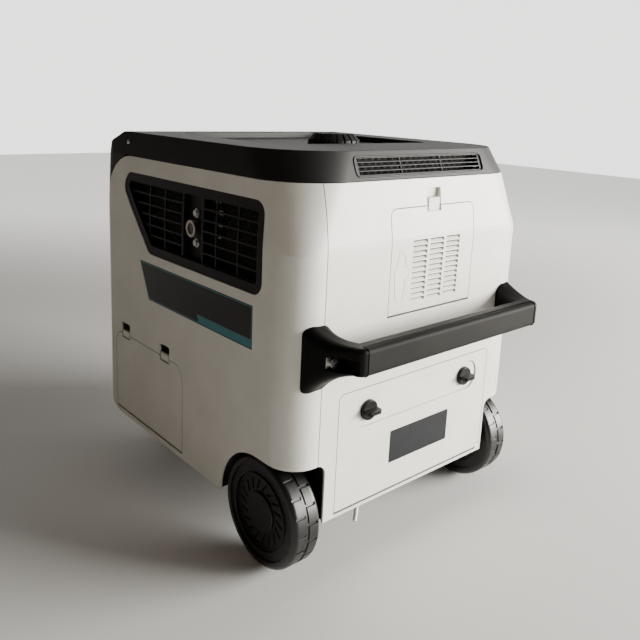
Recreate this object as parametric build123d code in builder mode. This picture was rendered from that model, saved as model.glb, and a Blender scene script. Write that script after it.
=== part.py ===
from build123d import *
import os
from math import sqrt

# A portable inverter generator in a closed, wheeled housing. Sizes are in millimetres.
# +Z is up, +X is to the right seen from the handle, and +Y points to the control panel.
# The origin is on the floor under the middle of the machine.

# Housing
BODY_W = 458.0          # across the two side covers
BODY_L = 515.0          # rear panel to control panel
BASE_Z = 73.0           # underside of the covers
CREASE_Z = 430.0        # height where the walls start to lean in
BAND_Z = 513.0          # joint between the pale covers and the black top
TOP_Z = 549.0           # top of the rim
CROWN_LINE = (          # height, and how far the rear wall and the sides have leaned in there
    (CREASE_Z, 0.0, 0.0),
    (438.0, 0.5, 0.2),
    (446.0, 1.7, 0.6),
    (BAND_Z, 12.0, 4.0),
    (TOP_Z, 27.0, 9.0),
)
CORNER_R = 42.0         # upright corners
TOP_CORNER_R = 94.0     # rear corners at the rim
SKIRT_R = 70.0          # roll under the front edge
BROW_LINE = (           # upper front edge: how far behind the front, and height
    (0.0, 512.0),
    (30.0, 531.0),
    (75.0, TOP_Z),
)
BROW_R = 30.0           # round bends of that edge
WALL = 3.0              # moulded covers
SEAM = 0.95             # gap between neighbouring covers
FIT = 0.3               # gap between pieces that are bolted together
RUN = 0.05              # radial gap of a running fit
REACH = 5.0             # how far a cutter stands outside the housing

# How the housing is divided
WRAP_LEFT = 48.0        # left cover goes round the rear corner up to here
WRAP_RIGHT = 33.0
CHEEK_DEPTH = 22.0      # space behind a side cover's wall
CHEEK_BACK = 62.0       # length of the wrap along Y
CHEEK_SET = 25.0        # side covers stop this far behind the front
CHEEK_R = 80.0          # round upper front corner of a side cover
PANEL_Z = 298.0         # joint between the front panel and the control panel
TOP_SET = 85.0          # top cover stops this far behind the front

# Tray in the top cover and pocket for the controls
TRAY_MARGIN = 75.0
TRAY_REAR = 138.0
TRAY_FRONT = 402.0
TRAY_DEPTH = 9.0
TRAY_R = 20.0
POCKET_MARGIN = 38.0
POCKET_LOW = 312.0
POCKET_HIGH = 492.0
POCKET_DEPTH = 14.0
POCKET_R = 12.0

# Wheels and axle
WHEEL_R = 76.0
WHEEL_W = 43.0
WHEEL_SET = 5.5         # outer face of the tyre, inside the side cover's face
AXLE_SET = 65.0         # axle in front of the rear panel
AXLE_R = 9.0
STUB_R = 6.0            # axle ends that carry the wheels
RIM_R = 52.0
HUB_R = 18.0
HUB_LEN = 30.0
HUB_CAP_R = 27.0
HUB_CAP_T = 4.0
CAP_SET = 1.5           # hub cap behind the tyre's outer face
WEB_T = 8.0
BARREL_T = 5.0
SLOT_COUNT = 18
TREAD_COUNT = 20
NUT_R = 9.5
NUT_T = 6.0
NUT_GAP = 0.4
ARCH_GAP = 5.0          # tyre to wheel housing
WELL_DEPTH = 60.5       # wheel housing from the side cover's face
WELL_R = 14.0           # round inner edge of the wheel housing
LINER_T = 3.0
SADDLE_X = 110.0
SADDLE_W = 20.0
SADDLE_DROP = 5.0       # metal under the axle
CHANNEL_HALF = 15.0     # half width of the axle channel in the base pan
PAN_T = 4.0
SHEET_T = 3.0
FOOT_R = 20.0
FOOT_TOP_R = 24.0
FOOT_X = 134.0
FOOT_SET = 95.0

# Carry handle
HANDLE_REACH = 67.5     # front of the bar, behind the rear panel
BAR_Z = 314.5
BAR_H = 35.0
BAR_T = 26.5
BAR_END = 44.0          # bar ends inside the side faces
BAR_PLAN_R = 13.0
BAR_EDGE_R = 6.0
GRIP_END = 57.5
GRIP_T = 10.0
PAD_OUT = 18.5          # outer edge of the pad, inside the side face
PAD_IN = 62.0
PAD_LOW = 244.0
PAD_HIGH = 353.0
PAD_R = 14.0
NECK_REACH = 18.0       # narrowing of the arm between pad and bar
NECK_OUT = 24.0
NECK_IN = 60.0
NECK_LOW = 279.0
NECK_HIGH = 337.0
ARM_IN = 74.0
BOLT_X = 36.0
BOLT_R = 4.0
BOLT_HEAD_R = 6.5
BOLT_HEAD_T = 6.0
WASHER_T = 1.5
WASHER_HALF = 8.0
BOLT_SEAT = 26.0        # bolt seat behind the rear panel
BOLT_DROP = 5.5
POCKET_H = 18.0         # bolt pocket in the arm
POCKET_IN = 50.0
POCKET_END = 63.0
NUT_PLATE_T = 5.0
NUT_PLATE_HALF = 11.0

# Hinged covers: every one turns on a pin in a barrel along its lower edge
PIN_R = 1.5
BARREL_R = 3.5
LUG_LEN = 8.0
LIP = 0.95              # gap round a hinged cover

# Spark plug door, in the rear panel
DOOR_SHIFT = 15.0
DOOR_W = 170.0
DOOR_LOW = 334.0
DOOR_HIGH = 475.5
DOOR_R = 11.0
LOUVRE_SHIFT = 20.0
LOUVRE_COLS = 3
LOUVRE_ROWS = 12
LOUVRE_W = 29.0
LOUVRE_H = 5.6
LOUVRE_DEPTH = 4.5      # slanted floor of a louvre, at its top edge
LOUVRE_PITCH_X = 34.3
LOUVRE_PITCH_Z = 7.2
LOUVRE_MID_Z = 390.0
TAB_W = 22.0
TAB_H = 6.0             # hatch tab above its cover's edge
TAB_SINK = 4.5          # and below it
DOOR_TAB_H = 11.0
LATCH_DEPTH = 18.0      # pocket behind the door's tab
TAB_T = 1.8
TAB_SET = 0.6           # tab behind its cover's outer face
NOTCH_W = 29.0
NOTCH_H = 24.0
HATCH_NOTCH_H = 19.5
SLOT_H = 7.0            # finger slot below a tab
TAB_BITE = 15.0         # tab's strap behind its cover

# Air filter cover, in the rear panel
FILTER_SHIFT = 7.0
FILTER_W = 312.0
FILTER_LOW = 78.5
FILTER_HIGH = 244.5
FILTER_R = 10.0
BAND_W = 262.0
BAND_H = 45.0
BAND_MID_Z = 211.5
BAND_DEPTH = 1.8
KNOB_PITCH = 202.5
KNOB_R = 14.0
KNOB_T = 4.5
WING_T = 11.0
WING_H = 5.5
WING_R = 4.0
KNOB_GAP = 0.4
SHANK_R = 5.0
STUD_R = 3.0
STUD_REACH = 19.0
COLLAR_R = 8.0
COLLAR_T = 3.0
LABEL_W = 125.0
LABEL_H = 48.0
LABEL_Z = 143.0
LABEL_SHIFT = 6.5
LABEL_T = 0.6

# Service hatch, in the left cover
HATCH_REAR = 250.0
HATCH_FRONT = 464.0
HATCH_LOW = 82.0
HATCH_HIGH = 218.0
HATCH_R = 22.0
HATCH_TABS = (302.0, 429.0)

# Grilles in the side covers
GRILLE_LOW = 370.5
GRILLE_HIGH = 488.0
GRILLE_REAR = 64.0
GRILLE_TOP_FRONT = 416.0
GRILLE_NOSE_FRONT = 434.0
GRILLE_NOSE_Z = 466.0
GRILLE_LOW_FRONT = 348.0
GRILLE_R = 18.0
GRILLE_SET = 1.2        # grille face behind the cover's face
GRILLE_T = 6.0
GRILLE_RIM = 13.0
BAR_SINK = 3.0          # bars behind the face of the rim
BAR_W = 3.0
CELL_H = 12.4
CELL_PITCH_Z = 15.2
CELL_ROWS = 6
REAR_BAY = (81.0, (122.0, 172.0), 203.0)      # start, upright bars and end, from the rear wall
OUTLET_BAY = (208.0, (), 254.0)
FRONT_BAY = (259.0, (307.0, 352.0), 425.0)
BAY_DEPTH = 13.0        # floor of the outlet's pocket behind the left face
BAY_T = 2.5
BADGE_LOW = 298.0
BADGE_HIGH = 355.5
BADGE_REAR = 81.0
BADGE_TOP_FRONT = 376.5
BADGE_LOW_FRONT = 349.0
BADGE_T = 0.6

# Exhaust
OUTLET_Y = 232.0
OUTLET_Z = 428.0
OUTLET_R = 12.0
OUTLET_BORE = 8.0
OUTLET_SET = 2.0
SCREW_RISE = 21.0
SCREW_R = 5.0
SCREW_SHANK_R = 2.5
SCREW_HEAD_T = 4.0
SCREW_FLANGE_R = 6.5
SCREW_FLANGE_T = 1.2
SCREW_LEN = 10.0
MUFFLER_SET = 36.0      # muffler behind the left face
MUFFLER_W = 76.0
MUFFLER_REAR = 150.0
MUFFLER_FRONT = 320.0
MUFFLER_LOW = 336.0
MUFFLER_HIGH = 470.0
MUFFLER_R = 14.0
PIPE_R = 14.0

# Vent grille in the rear of the top cover
VENT_LEFT = 104.0
VENT_W = 254.0
VENT_LOW = 518.5
VENT_HIGH = 541.5
VENT_R = 6.0
VENT_COLS = 3
VENT_ROWS = 4
VENT_CELL_W = 79.5
VENT_CELL_H = 3.9
VENT_PITCH_X = 81.5
VENT_PITCH_Z = 5.2
UPRIGHT_SET = 3.0       # uprights behind the face of the slats

# Fuel tank and cap
CAP_SHIFT = 6.0
CAP_SET_Y = 202.0
CAP_R = 39.5
CAP_H = 21.5
CAP_TOP_T = 6.0
CAP_SKIRT = 10.0        # upright part of the cap's side
CAP_SLOPE = 9.0         # its shoulder goes in by this
CAP_DOME = 2.0
CAP_GROOVE_W = 3.2
CAP_GROOVE = 2.2
CAP_RIBS = 20
CAP_GAP = 0.4
NECK_R = 27.0
NECK_BORE = 22.0
NECK_RISE = 11.0
NECK_GAP = 2.0
TANK_LEFT = 128.0
TANK_RIGHT = 36.0
TANK_REAR = 75.0
TANK_FRONT = 415.0
TANK_H = 88.0
TANK_R = 22.0

# Engine and alternator
MOUNT_R = 18.0
MOUNT_H = 25.0
BLOCK_W = 150.0
BLOCK_REAR = 112.0
BLOCK_FRONT = 290.0
BLOCK_H = 130.0
BLOCK_R = 12.0
CRANK_Y = 200.0
CRANK_RISE = 68.0       # crankshaft above the block's foot
CRANK_R = 12.0
CRANK_END_R = 10.0
CRANK_TAIL = 13.0
CYLINDER_R = 46.0
CYLINDER_H = 90.0
FIN_R = 60.0
FIN_T = 3.0
FIN_COUNT = 6
HEAD_HALF = 52.0
HEAD_H = 56.0
VALVE_HALF = 42.0
VALVE_H = 22.0
PLUG_RISE = 30.0
PLUG_R = 8.0
PLUG_LEN = 44.0
STATOR_R = 65.4
STATOR_BORE = 26.0
STATOR_NECK_R = 50.0
STATOR_NECK = 9.0
STATOR_LEN = 37.0
AIR_GAP = 0.6
ROTOR_T = 9.0
ROTOR_CLEAR = 6.0
ROTOR_PLATE = 10.0
FAN_R = 84.0
FAN_PLATE = 3.0
FAN_HUB_R = 20.0
FAN_LEN = 20.0
BLADE_COUNT = 10
BLADE_T = 3.0
STARTER_R = 26.0
STARTER_LEN = 100.0
STARTER_RISE = 48.0
STARTER_FOOT = 10.0

# Intake
BOX_W = 264.0
BOX_SET = 10.0
BOX_DEPTH = 88.0
BOX_H = 147.0
BOX_T = 3.0
ELEMENT_SET = 12.0
ELEMENT_DEPTH = 60.0
ELEMENT_DROP = 42.0
BOSS_R = 8.0
BOSS_LEN = 12.0
STUD_GAP = 1.6
CARB_W = 48.0
CARB_L = 50.0
CARB_H = 46.0
DUCT_R = 16.0
DUCT_SET_Y = 60.0

# Electrics behind the covers
INVERTER_LEFT = 129.0
INVERTER_RIGHT = 40.0
INVERTER_REAR = 378.0
INVERTER_FRONT = 452.0
INVERTER_H = 140.0
INVERTER_FINS = 14
INVERTER_FIN_DEPTH = 18.0
BATTERY_SET = 22.0
BATTERY_W = 74.0
BATTERY_REAR = 285.0
BATTERY_L = 150.0
BATTERY_H = 95.0
TERMINAL_R = 6.0
TERMINAL_H = 9.0

# Controls, by their middles: across from the left face and above the floor
DISPLAY_AT = (118.0, 448.0)
DISPLAY_W = 92.0
DISPLAY_H = 48.0
ROCKER_AT = (205.0, 448.0)
ROCKER_W = 14.0
ROCKER_H = 24.0
ROCKER_GAP = 1.4
START_AT = (118.0, 368.0)
START_R = 12.0
DIAL_AT = (205.0, 368.0)
DIAL_R = 20.0
OUTLETS_AT = ((272.0, 440.0), (346.0, 440.0))
SOCKET_R = 24.0
SOCKET_SLOT = 6.5
DC_AT = (272.0, 362.0)
DC_R = 13.0
BREAKER_AT = (325.0, 362.0)
BREAKER_R = 6.5
GROUND_AT = (378.0, 346.0)
GROUND_R = 3.0
GROUND_NUT_R = 9.0
FLANGE = 2.5            # rim of a control over its hole
FLANGE_T = 1.5
CONTROL_DEPTH = 24.0
BUTTON_PROUD = 5.0
DIAL_T = 11.0
DIAL_SHAFT_R = 4.0

# Drain hose: its route from the nipple to the open end, from the left rear corner of the floor
HOSE_R = 3.0
HOSE_ROUTE = ((156.0, 33.0, 66.0), (149.0, 24.5, 63.5), (137.6, 14.8, 55.6), (127.5, 7.0, 46.0))
BEND_SHARE = 0.45
NIPPLE_R = 4.5
NIPPLE_LEN = 8.0
NIPPLE_POST_R = 5.5

# Derived places
LEFT = -BODY_W / 2
RIGHT = BODY_W / 2
REAR = -(BODY_L - HANDLE_REACH) / 2
FRONT = REAR + BODY_L
MID_Y = (REAR + FRONT) / 2
AXLE_Y = REAR + AXLE_SET
AXLE_Z = WHEEL_R
PAN_TOP = BASE_Z + PAN_T
CHANNEL_TOP = AXLE_Z + AXLE_R + FIT + SHEET_T
FLOOR_FRONT = FRONT - SKIRT_R
PANEL_FACE = FRONT - POCKET_DEPTH
CHEEK_FRONT = FRONT - CHEEK_SET
TOP_FRONT = FRONT - TOP_SET
TRAY_Z = TOP_Z - TRAY_DEPTH
TANK_TOP = TRAY_Z - WALL
CAP_Y = REAR + CAP_SET_Y
BLOCK_FOOT = PAN_TOP + MOUNT_H
BLOCK_TOP = BLOCK_FOOT + BLOCK_H
CRANK_AT = (REAR + CRANK_Y, BLOCK_FOOT + CRANK_RISE)
HEAD_FOOT = BLOCK_TOP + CYLINDER_H
DUCT_Z = HEAD_FOOT + CARB_H / 2
FILTER_X = FILTER_SHIFT
FILTER_PIN_Z = FILTER_LOW + BARREL_R
DOOR_PIN_Z = DOOR_LOW + BARREL_R
HATCH_PIN_Z = HATCH_LOW + BARREL_R

os.makedirs("parts", exist_ok=True)


def save(piece, name):
    piece.label = name
    export_step(piece, f"parts/{name}.step")


def block(xs, ys, zs, corner=0.0, along=Axis.Z, upper_only=False):
    """A box between six limits, with the edges along one axis rounded."""
    with BuildPart() as piece:
        with Locations(((xs[0] + xs[1]) / 2, (ys[0] + ys[1]) / 2, (zs[0] + zs[1]) / 2)):
            Box(xs[1] - xs[0], ys[1] - ys[0], zs[1] - zs[0])
        if corner:
            edges = piece.edges().filter_by(along)
            fillet(edges.group_by(Axis.Z)[-1] if upper_only else edges, corner)
    return piece.part


def rod(start, end, radius, bore=0.0):
    """A round bar or tube between two points."""
    run = Vector(*end) - Vector(*start)
    with BuildPart() as piece:
        with BuildSketch(Plane(origin=start, z_dir=run)):
            Circle(radius)
            if bore:
                Circle(bore, mode=Mode.SUBTRACT)
        extrude(amount=run.length)
    return piece.part


def both_sides(piece):
    """A piece of the left side together with its mirror image."""
    with BuildPart() as pair:
        add(piece)
        mirror(about=Plane.YZ)
    return pair.part


def lean(z, column):
    """A column of the crown line at height z."""
    for low, high in zip(CROWN_LINE, CROWN_LINE[1:]):
        if low[0] <= z <= high[0]:
            return low[column] + (high[column] - low[column]) * (z - low[0]) / (high[0] - low[0])
    return 0.0


def crown(z):
    """How far the rear wall has leaned in at height z."""
    return lean(z, 1)


def flank(z):
    """How far a side has leaned in at height z."""
    return lean(z, 2)


def corner_radius(z):
    rise = max(0.0, z - CREASE_Z)
    return CORNER_R + (TOP_CORNER_R - CORNER_R) * rise / (TOP_Z - CREASE_Z)


def housing_form(inset):
    """The closed form of the housing, moved in by inset all round."""
    width = BODY_W - 2 * inset
    length = BODY_L - 2 * inset
    low = BASE_Z + inset
    high = TOP_Z - inset
    with BuildPart() as form:
        with BuildSketch(Plane.XY.offset(low)):
            with Locations((0, MID_Y)):
                RectangleRounded(width, length, CORNER_R - inset)
        extrude(amount=CREASE_Z - low)
        for z in [row[0] for row in CROWN_LINE[:-1]] + [high]:
            with BuildSketch(Plane.XY.offset(z)) as level:
                with Locations((0, MID_Y + crown(z) / 2)):
                    Rectangle(width - 2 * flank(z), length - crown(z))
                fillet(level.vertices().group_by(Axis.Y)[0], corner_radius(z) - inset)
                fillet(level.vertices().group_by(Axis.Y)[-1], CORNER_R - inset)
        loft(ruled=True)
        brow = [(FRONT - back, z) for back, z in BROW_LINE]
        with BuildSketch(Plane.YZ.offset(-BODY_W)) as side:
            with BuildLine():
                Polyline((REAR, BASE_Z), (FRONT, BASE_Z), *brow, (REAR, TOP_Z), close=True)
            make_face()
            fillet(side.vertices().sort_by_distance((FRONT, BASE_Z))[0], SKIRT_R)
            for point in brow:
                fillet(side.vertices().sort_by_distance(point)[0], BROW_R)
            if inset:
                offset(amount=-inset, mode=Mode.REPLACE)
        extrude(amount=2 * BODY_W, mode=Mode.INTERSECT)
    return form.part


def tray(grow):
    xs = (LEFT + TRAY_MARGIN - grow, RIGHT - TRAY_MARGIN + grow)
    ys = (REAR + TRAY_REAR - grow, REAR + TRAY_FRONT + grow)
    return block(xs, ys, (TRAY_Z - grow, TOP_Z + REACH), TRAY_R + grow)


def control_pocket(grow):
    xs = (LEFT + POCKET_MARGIN - grow, RIGHT - POCKET_MARGIN + grow)
    zs = (POCKET_LOW - grow, POCKET_HIGH + grow)
    return block(xs, (PANEL_FACE - grow, FRONT + REACH), zs, POCKET_R + grow, Axis.Y)


def hollow(outer_inset, inner_inset):
    """The housing's wall between two depths, with its tray and control pocket, open below."""
    outer = housing_form(outer_inset)
    inner = housing_form(inner_inset)
    cuts = [(cutter(outer_inset), cutter(inner_inset)) for cutter in (tray, control_pocket)]
    with BuildPart() as core:
        add(inner)
        for _, cut in cuts:
            add(cut, mode=Mode.SUBTRACT)
    xs = (LEFT + WALL, RIGHT - WALL)
    floor = block(xs, (REAR + WALL, FLOOR_FRONT), (BASE_Z - REACH, PAN_TOP + REACH))
    with BuildPart() as wall:
        add(outer)
        for cut, _ in cuts:
            add(cut, mode=Mode.SUBTRACT)
        add(core.part, mode=Mode.SUBTRACT)
        add(floor, mode=Mode.SUBTRACT)
    return wall.part


def skin(outer_inset, inner_inset):
    """The plain wall between two depths, with no tray or pocket."""
    outer = housing_form(outer_inset)
    inner = housing_form(inner_inset)
    with BuildPart() as wall:
        add(outer)
        add(inner, mode=Mode.SUBTRACT)
    return wall.part


def wheel_wells(grow):
    """The two spaces over the wheels: round in front, square behind."""
    radius = WHEEL_R + ARCH_GAP + grow
    with BuildPart() as wells:
        with BuildSketch(Plane.YZ.offset(LEFT - REACH)):
            with Locations((AXLE_Y, AXLE_Z)):
                Circle(radius)
                Rectangle(2 * BODY_W, radius, align=(Align.MAX, Align.MIN))
                Rectangle(2 * BODY_W, radius, align=(Align.MAX, Align.MAX))
        extrude(amount=REACH + WELL_DEPTH + grow)
        rim = wells.faces().sort_by(Axis.X)[-1].edges().sort_by(Axis.Z)
        fillet([edge for edge in rim if edge.center().Z > AXLE_Z], WELL_R + grow)
        mirror(about=Plane.YZ)
    return wells.part


def side_outline(grow):
    """The outline of a side cover, seen from the side, as an open sketch on the YZ plane."""
    low = BASE_Z - REACH
    high = BAND_Z - SEAM / 2 + grow
    ends = (REAR - REACH, CHEEK_FRONT + grow)
    with BuildSketch(Plane.YZ) as outline:
        with Locations(((ends[0] + ends[1]) / 2, (low + high) / 2)):
            Rectangle(ends[1] - ends[0], high - low)
        corner = outline.vertices().group_by(Axis.X)[-1].sort_by(Axis.Y)[-1]
        fillet(corner, CHEEK_R + grow)
    return outline.sketch_local


def wrap_line(side, wrap):
    """The edge of a side cover's wrap on the rear wall, from its foot up to the band."""
    heights = [BASE_Z - REACH] + [row[0] for row in CROWN_LINE if row[0] < BAND_Z] + [BAND_Z - SEAM / 2]
    return [(side * (BODY_W / 2 - wrap - flank(z)), z) for z in heights]


def rear_prism(points):
    """A prism through the rear wall with the given outline, seen from behind."""
    with BuildPart() as prism:
        with BuildSketch(Plane.XZ.offset(-REAR_YS[0])):
            with BuildLine():
                Polyline(*points, close=True)
            make_face()
        extrude(amount=REAR_YS[0] - REAR_YS[1])
    return prism.part


def cover_space(side, wrap):
    """The space of one side cover: its wall and the rear corner up to the wrap."""
    edge = side * BODY_W / 2
    inner = edge - side * CHEEK_DEPTH
    turn = wrap_line(side, wrap - SEAM / 2)
    ends = [(edge + side * REACH, turn[-1][1]), (edge + side * REACH, turn[0][1])]
    corner = rear_prism([*turn, *ends])
    with BuildPart() as space:
        with BuildSketch(Plane.YZ.offset(min(edge + side * REACH, inner))):
            add(side_outline(0.0))
        extrude(amount=CHEEK_DEPTH + REACH)
        add(corner)
    return space.part


def grille_outline(grow):
    """The outline of a side grille, with its slanted front end, on the YZ plane."""
    points = [
        (REAR + GRILLE_REAR, GRILLE_LOW),
        (REAR + GRILLE_LOW_FRONT, GRILLE_LOW),
        (REAR + GRILLE_NOSE_FRONT, GRILLE_NOSE_Z),
        (REAR + GRILLE_TOP_FRONT, GRILLE_HIGH),
        (REAR + GRILLE_REAR, GRILLE_HIGH),
    ]
    with BuildSketch(Plane.YZ) as outline:
        with BuildLine():
            Polyline(*points, close=True)
        make_face()
        fillet(outline.vertices(), GRILLE_R)
        if grow:
            offset(amount=grow, mode=Mode.REPLACE)
    return outline.sketch_local


def badge_plate(grow, depth):
    """The badge in the left cover, or with grow its recess."""
    points = [
        (REAR + BADGE_REAR - grow, BADGE_LOW - grow),
        (REAR + BADGE_LOW_FRONT + grow, BADGE_LOW - grow),
        (REAR + BADGE_TOP_FRONT + grow, BADGE_HIGH + grow),
        (REAR + BADGE_REAR - grow, BADGE_HIGH + grow),
    ]
    with BuildPart() as plate:
        with BuildSketch(Plane.YZ.offset(LEFT)):
            with BuildLine():
                Polyline(*points, close=True)
            make_face()
        extrude(amount=depth)
    return plate.part


def side_prism(sketch, x_start, x_end):
    with BuildPart() as prism:
        with BuildSketch(Plane.YZ.offset(x_start)):
            add(sketch)
        extrude(amount=x_end - x_start)
    return prism.part


# Forms that several pieces share
SHELL = hollow(0.0, WALL)
LINING = housing_form(WALL + FIT)
WELLS = wheel_wells(0.0)

# Places of the hinged covers
DOOR_XS = (DOOR_SHIFT - DOOR_W / 2, DOOR_SHIFT + DOOR_W / 2)
FILTER_XS = (FILTER_X - FILTER_W / 2, FILTER_X + FILTER_W / 2)
HATCH_YS = (REAR + HATCH_REAR, REAR + HATCH_FRONT)
REAR_YS = (REAR - REACH, REAR + CHEEK_BACK)
LEFT_XS = (LEFT - REACH, LEFT + CHEEK_DEPTH)
KNOB_XS = (FILTER_X - KNOB_PITCH / 2, FILTER_X + KNOB_PITCH / 2)
LATCH_XS = (DOOR_SHIFT - NOTCH_W / 2, DOOR_SHIFT + NOTCH_W / 2)


# Hinge lines: where each barrel and pin runs
PIN_Y = REAR + BARREL_R
PIN_X = LEFT + BARREL_R
KNUCKLE = LUG_LEN + LIP
DOOR_LINE = [(x, PIN_Y, DOOR_PIN_Z) for x in DOOR_XS]
FILTER_LINE = [(x, PIN_Y, FILTER_PIN_Z) for x in (FILTER_XS[0], FILTER_XS[1] - KNUCKLE)]
HATCH_LINE = [(PIN_X, y, HATCH_PIN_Z) for y in HATCH_YS]


def pin_rod(line, radius, past):
    """A rod along a hinge line, going past both of its ends."""
    start, end = Vector(*line[0]), Vector(*line[1])
    step = (end - start).normalized() * past
    return rod(tuple(start - step), tuple(end + step), radius)


def rear_lug(x_start, x_end, pin_z):
    """A lug on the rear panel's back that holds one end of a hinge pin."""
    zs = (pin_z - BARREL_R, pin_z + BARREL_R)
    return block((x_start, x_end), (REAR + WALL, REAR + 2 * BARREL_R), zs)


# Side covers
def handle_bolt_hole():
    x = LEFT + BOLT_X
    z = BAR_Z - BOLT_DROP
    return rod((x, REAR - REACH, z), (x, REAR + CHEEK_BACK, z), BOLT_R + FIT)


def hatch_lugs():
    xs = (LEFT + WALL, LEFT + 2 * BARREL_R)
    zs = (HATCH_PIN_Z - BARREL_R, HATCH_PIN_Z + BARREL_R)
    low, high = HATCH_YS
    ends = ((low - KNUCKLE, low - LIP), (high + LIP, high + KNUCKLE))
    return [block(xs, end, zs) for end in ends]


hatch_zs = (HATCH_LOW - LIP, HATCH_HIGH + LIP)
hatch_opening = block(LEFT_XS, (HATCH_YS[0] - LIP, HATCH_YS[1] + LIP), hatch_zs, HATCH_R, Axis.X, True)
hatch_notches = [
    block(LEFT_XS, (REAR + y - NOTCH_W / 2, REAR + y + NOTCH_W / 2), (HATCH_HIGH, HATCH_HIGH + HATCH_NOTCH_H))
    for y in HATCH_TABS
]
left_cuts = [
    WELLS,
    side_prism(grille_outline(FIT), LEFT - REACH, LEFT + CHEEK_DEPTH),
    badge_plate(FIT / 2, BADGE_T),
    hatch_opening,
    handle_bolt_hole(),
    *hatch_notches,
]
left_space = cover_space(-1, WRAP_LEFT)
left_lugs = hatch_lugs()
hatch_hole = pin_rod(HATCH_LINE, PIN_R + FIT / 10, KNUCKLE)
with BuildPart() as left_side_cover:
    add(left_space)
    add(SHELL, mode=Mode.INTERSECT)
    for cut in left_cuts:
        add(cut, mode=Mode.SUBTRACT)
    for piece in left_lugs:
        add(piece)
    add(hatch_hole, mode=Mode.SUBTRACT)
save(left_side_cover.part, "left_side_cover")

right_space = cover_space(1, WRAP_RIGHT)
right_cuts = [
    WELLS,
    side_prism(grille_outline(FIT), RIGHT - CHEEK_DEPTH, RIGHT + REACH),
    badge_plate(FIT / 2, BADGE_T).mirror(Plane.YZ),
    handle_bolt_hole().mirror(Plane.YZ),
]
with BuildPart() as right_side_cover:
    add(right_space)
    add(SHELL, mode=Mode.INTERSECT)
    for cut in right_cuts:
        add(cut, mode=Mode.SUBTRACT)
save(right_side_cover.part, "right_side_cover")

badges = both_sides(badge_plate(0.0, BADGE_T))
with BuildPart() as side_badges:
    add(badges)
save(side_badges.part, "side_badges")

# Rear panel, with openings for the spark plug door and the filter cover
left_turn = wrap_line(-1, WRAP_LEFT + SEAM / 2)
right_turn = wrap_line(1, WRAP_RIGHT + SEAM / 2)
rear_space = rear_prism([*left_turn, *reversed(right_turn)])
door_opening = block(
    (DOOR_XS[0] - LIP, DOOR_XS[1] + LIP),
    REAR_YS,
    (DOOR_LOW - LIP, DOOR_HIGH + LIP),
    DOOR_R,
    Axis.Y,
    True,
)
filter_opening = block(
    (FILTER_XS[0] - LIP, FILTER_XS[1] + LIP),
    REAR_YS,
    (FILTER_LOW - LIP, FILTER_HIGH + LIP),
    FILTER_R,
    Axis.Y,
    True,
)
door_notch = block(LATCH_XS, REAR_YS, (DOOR_HIGH, DOOR_HIGH + NOTCH_H))
rear_hangers = [
    rear_lug(DOOR_XS[0] - KNUCKLE, DOOR_XS[0] - LIP, DOOR_PIN_Z),
    rear_lug(DOOR_XS[1] + LIP, DOOR_XS[1] + KNUCKLE, DOOR_PIN_Z),
    rear_lug(FILTER_XS[0] - KNUCKLE, FILTER_XS[0] - LIP, FILTER_PIN_Z),
    block(
        (FILTER_XS[1] - LUG_LEN, FILTER_XS[1] + 2 * LIP),
        (REAR, REAR + 2 * BARREL_R),
        (FILTER_LOW - LIP - FIT, FILTER_PIN_Z),
    ),
    rod(
        (FILTER_XS[1] - LUG_LEN, PIN_Y, FILTER_PIN_Z),
        (FILTER_XS[1] + 2 * LIP, PIN_Y, FILTER_PIN_Z),
        BARREL_R,
    ),
]
pin_holes = [pin_rod(line, PIN_R + FIT / 10, KNUCKLE) for line in (DOOR_LINE, FILTER_LINE)]
latch_top = DOOR_HIGH + NOTCH_H
latch_outer = block(
    (LATCH_XS[0] - SHEET_T, LATCH_XS[1] + SHEET_T),
    (REAR, REAR + LATCH_DEPTH),
    (DOOR_HIGH + LIP, latch_top + SHEET_T),
)
latch_inner = block(LATCH_XS, (REAR - REACH, REAR + LATCH_DEPTH - SHEET_T), (DOOR_HIGH - LIP, latch_top))
latch_limit = housing_form(WALL / 2)
with BuildPart() as latch_pocket:
    add(latch_outer)
    add(latch_inner, mode=Mode.SUBTRACT)
    add(latch_limit, mode=Mode.INTERSECT)
right_bolt_hole = handle_bolt_hole().mirror(Plane.YZ)
with BuildPart() as rear_panel:
    add(rear_space)
    add(SHELL, mode=Mode.INTERSECT)
    for cut in (WELLS, door_opening, filter_opening, door_notch, right_bolt_hole):
        add(cut, mode=Mode.SUBTRACT)
    for piece in (*rear_hangers, latch_pocket.part):
        add(piece)
    for hole in pin_holes:
        add(hole, mode=Mode.SUBTRACT)
save(rear_panel.part, "rear_panel")

# Front panel with its rolled lower edge
front_low = block(
    (LEFT - REACH, RIGHT + REACH),
    (CHEEK_FRONT + SEAM, FRONT + REACH),
    (BASE_Z - REACH, PANEL_Z - SEAM / 2),
)
front_roll = block(
    (LEFT + CHEEK_DEPTH + SEAM, RIGHT - CHEEK_DEPTH - SEAM),
    (FLOOR_FRONT, CHEEK_FRONT + SEAM),
    (BASE_Z - REACH, BASE_Z + SKIRT_R),
)
with BuildPart() as front_panel:
    add(front_low)
    add(front_roll)
    add(SHELL, mode=Mode.INTERSECT)
save(front_panel.part, "front_panel")


# Control panel: the upper front, outside the round corners of the side covers
def panel_point(at):
    """A control's middle on the panel's outer face."""
    return (LEFT + at[0], PANEL_FACE, at[1])


def panel_hole(at, radius):
    x, y, z = panel_point(at)
    return rod((x, y - CONTROL_DEPTH, z), (x, y + REACH, z), radius)


def panel_window(at, width, height, gap):
    x, y, z = panel_point(at)
    xs = (x - width / 2 - gap, x + width / 2 + gap)
    zs = (z - height / 2 - gap, z + height / 2 + gap)
    return block(xs, (y - CONTROL_DEPTH, y + REACH), zs)


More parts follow.
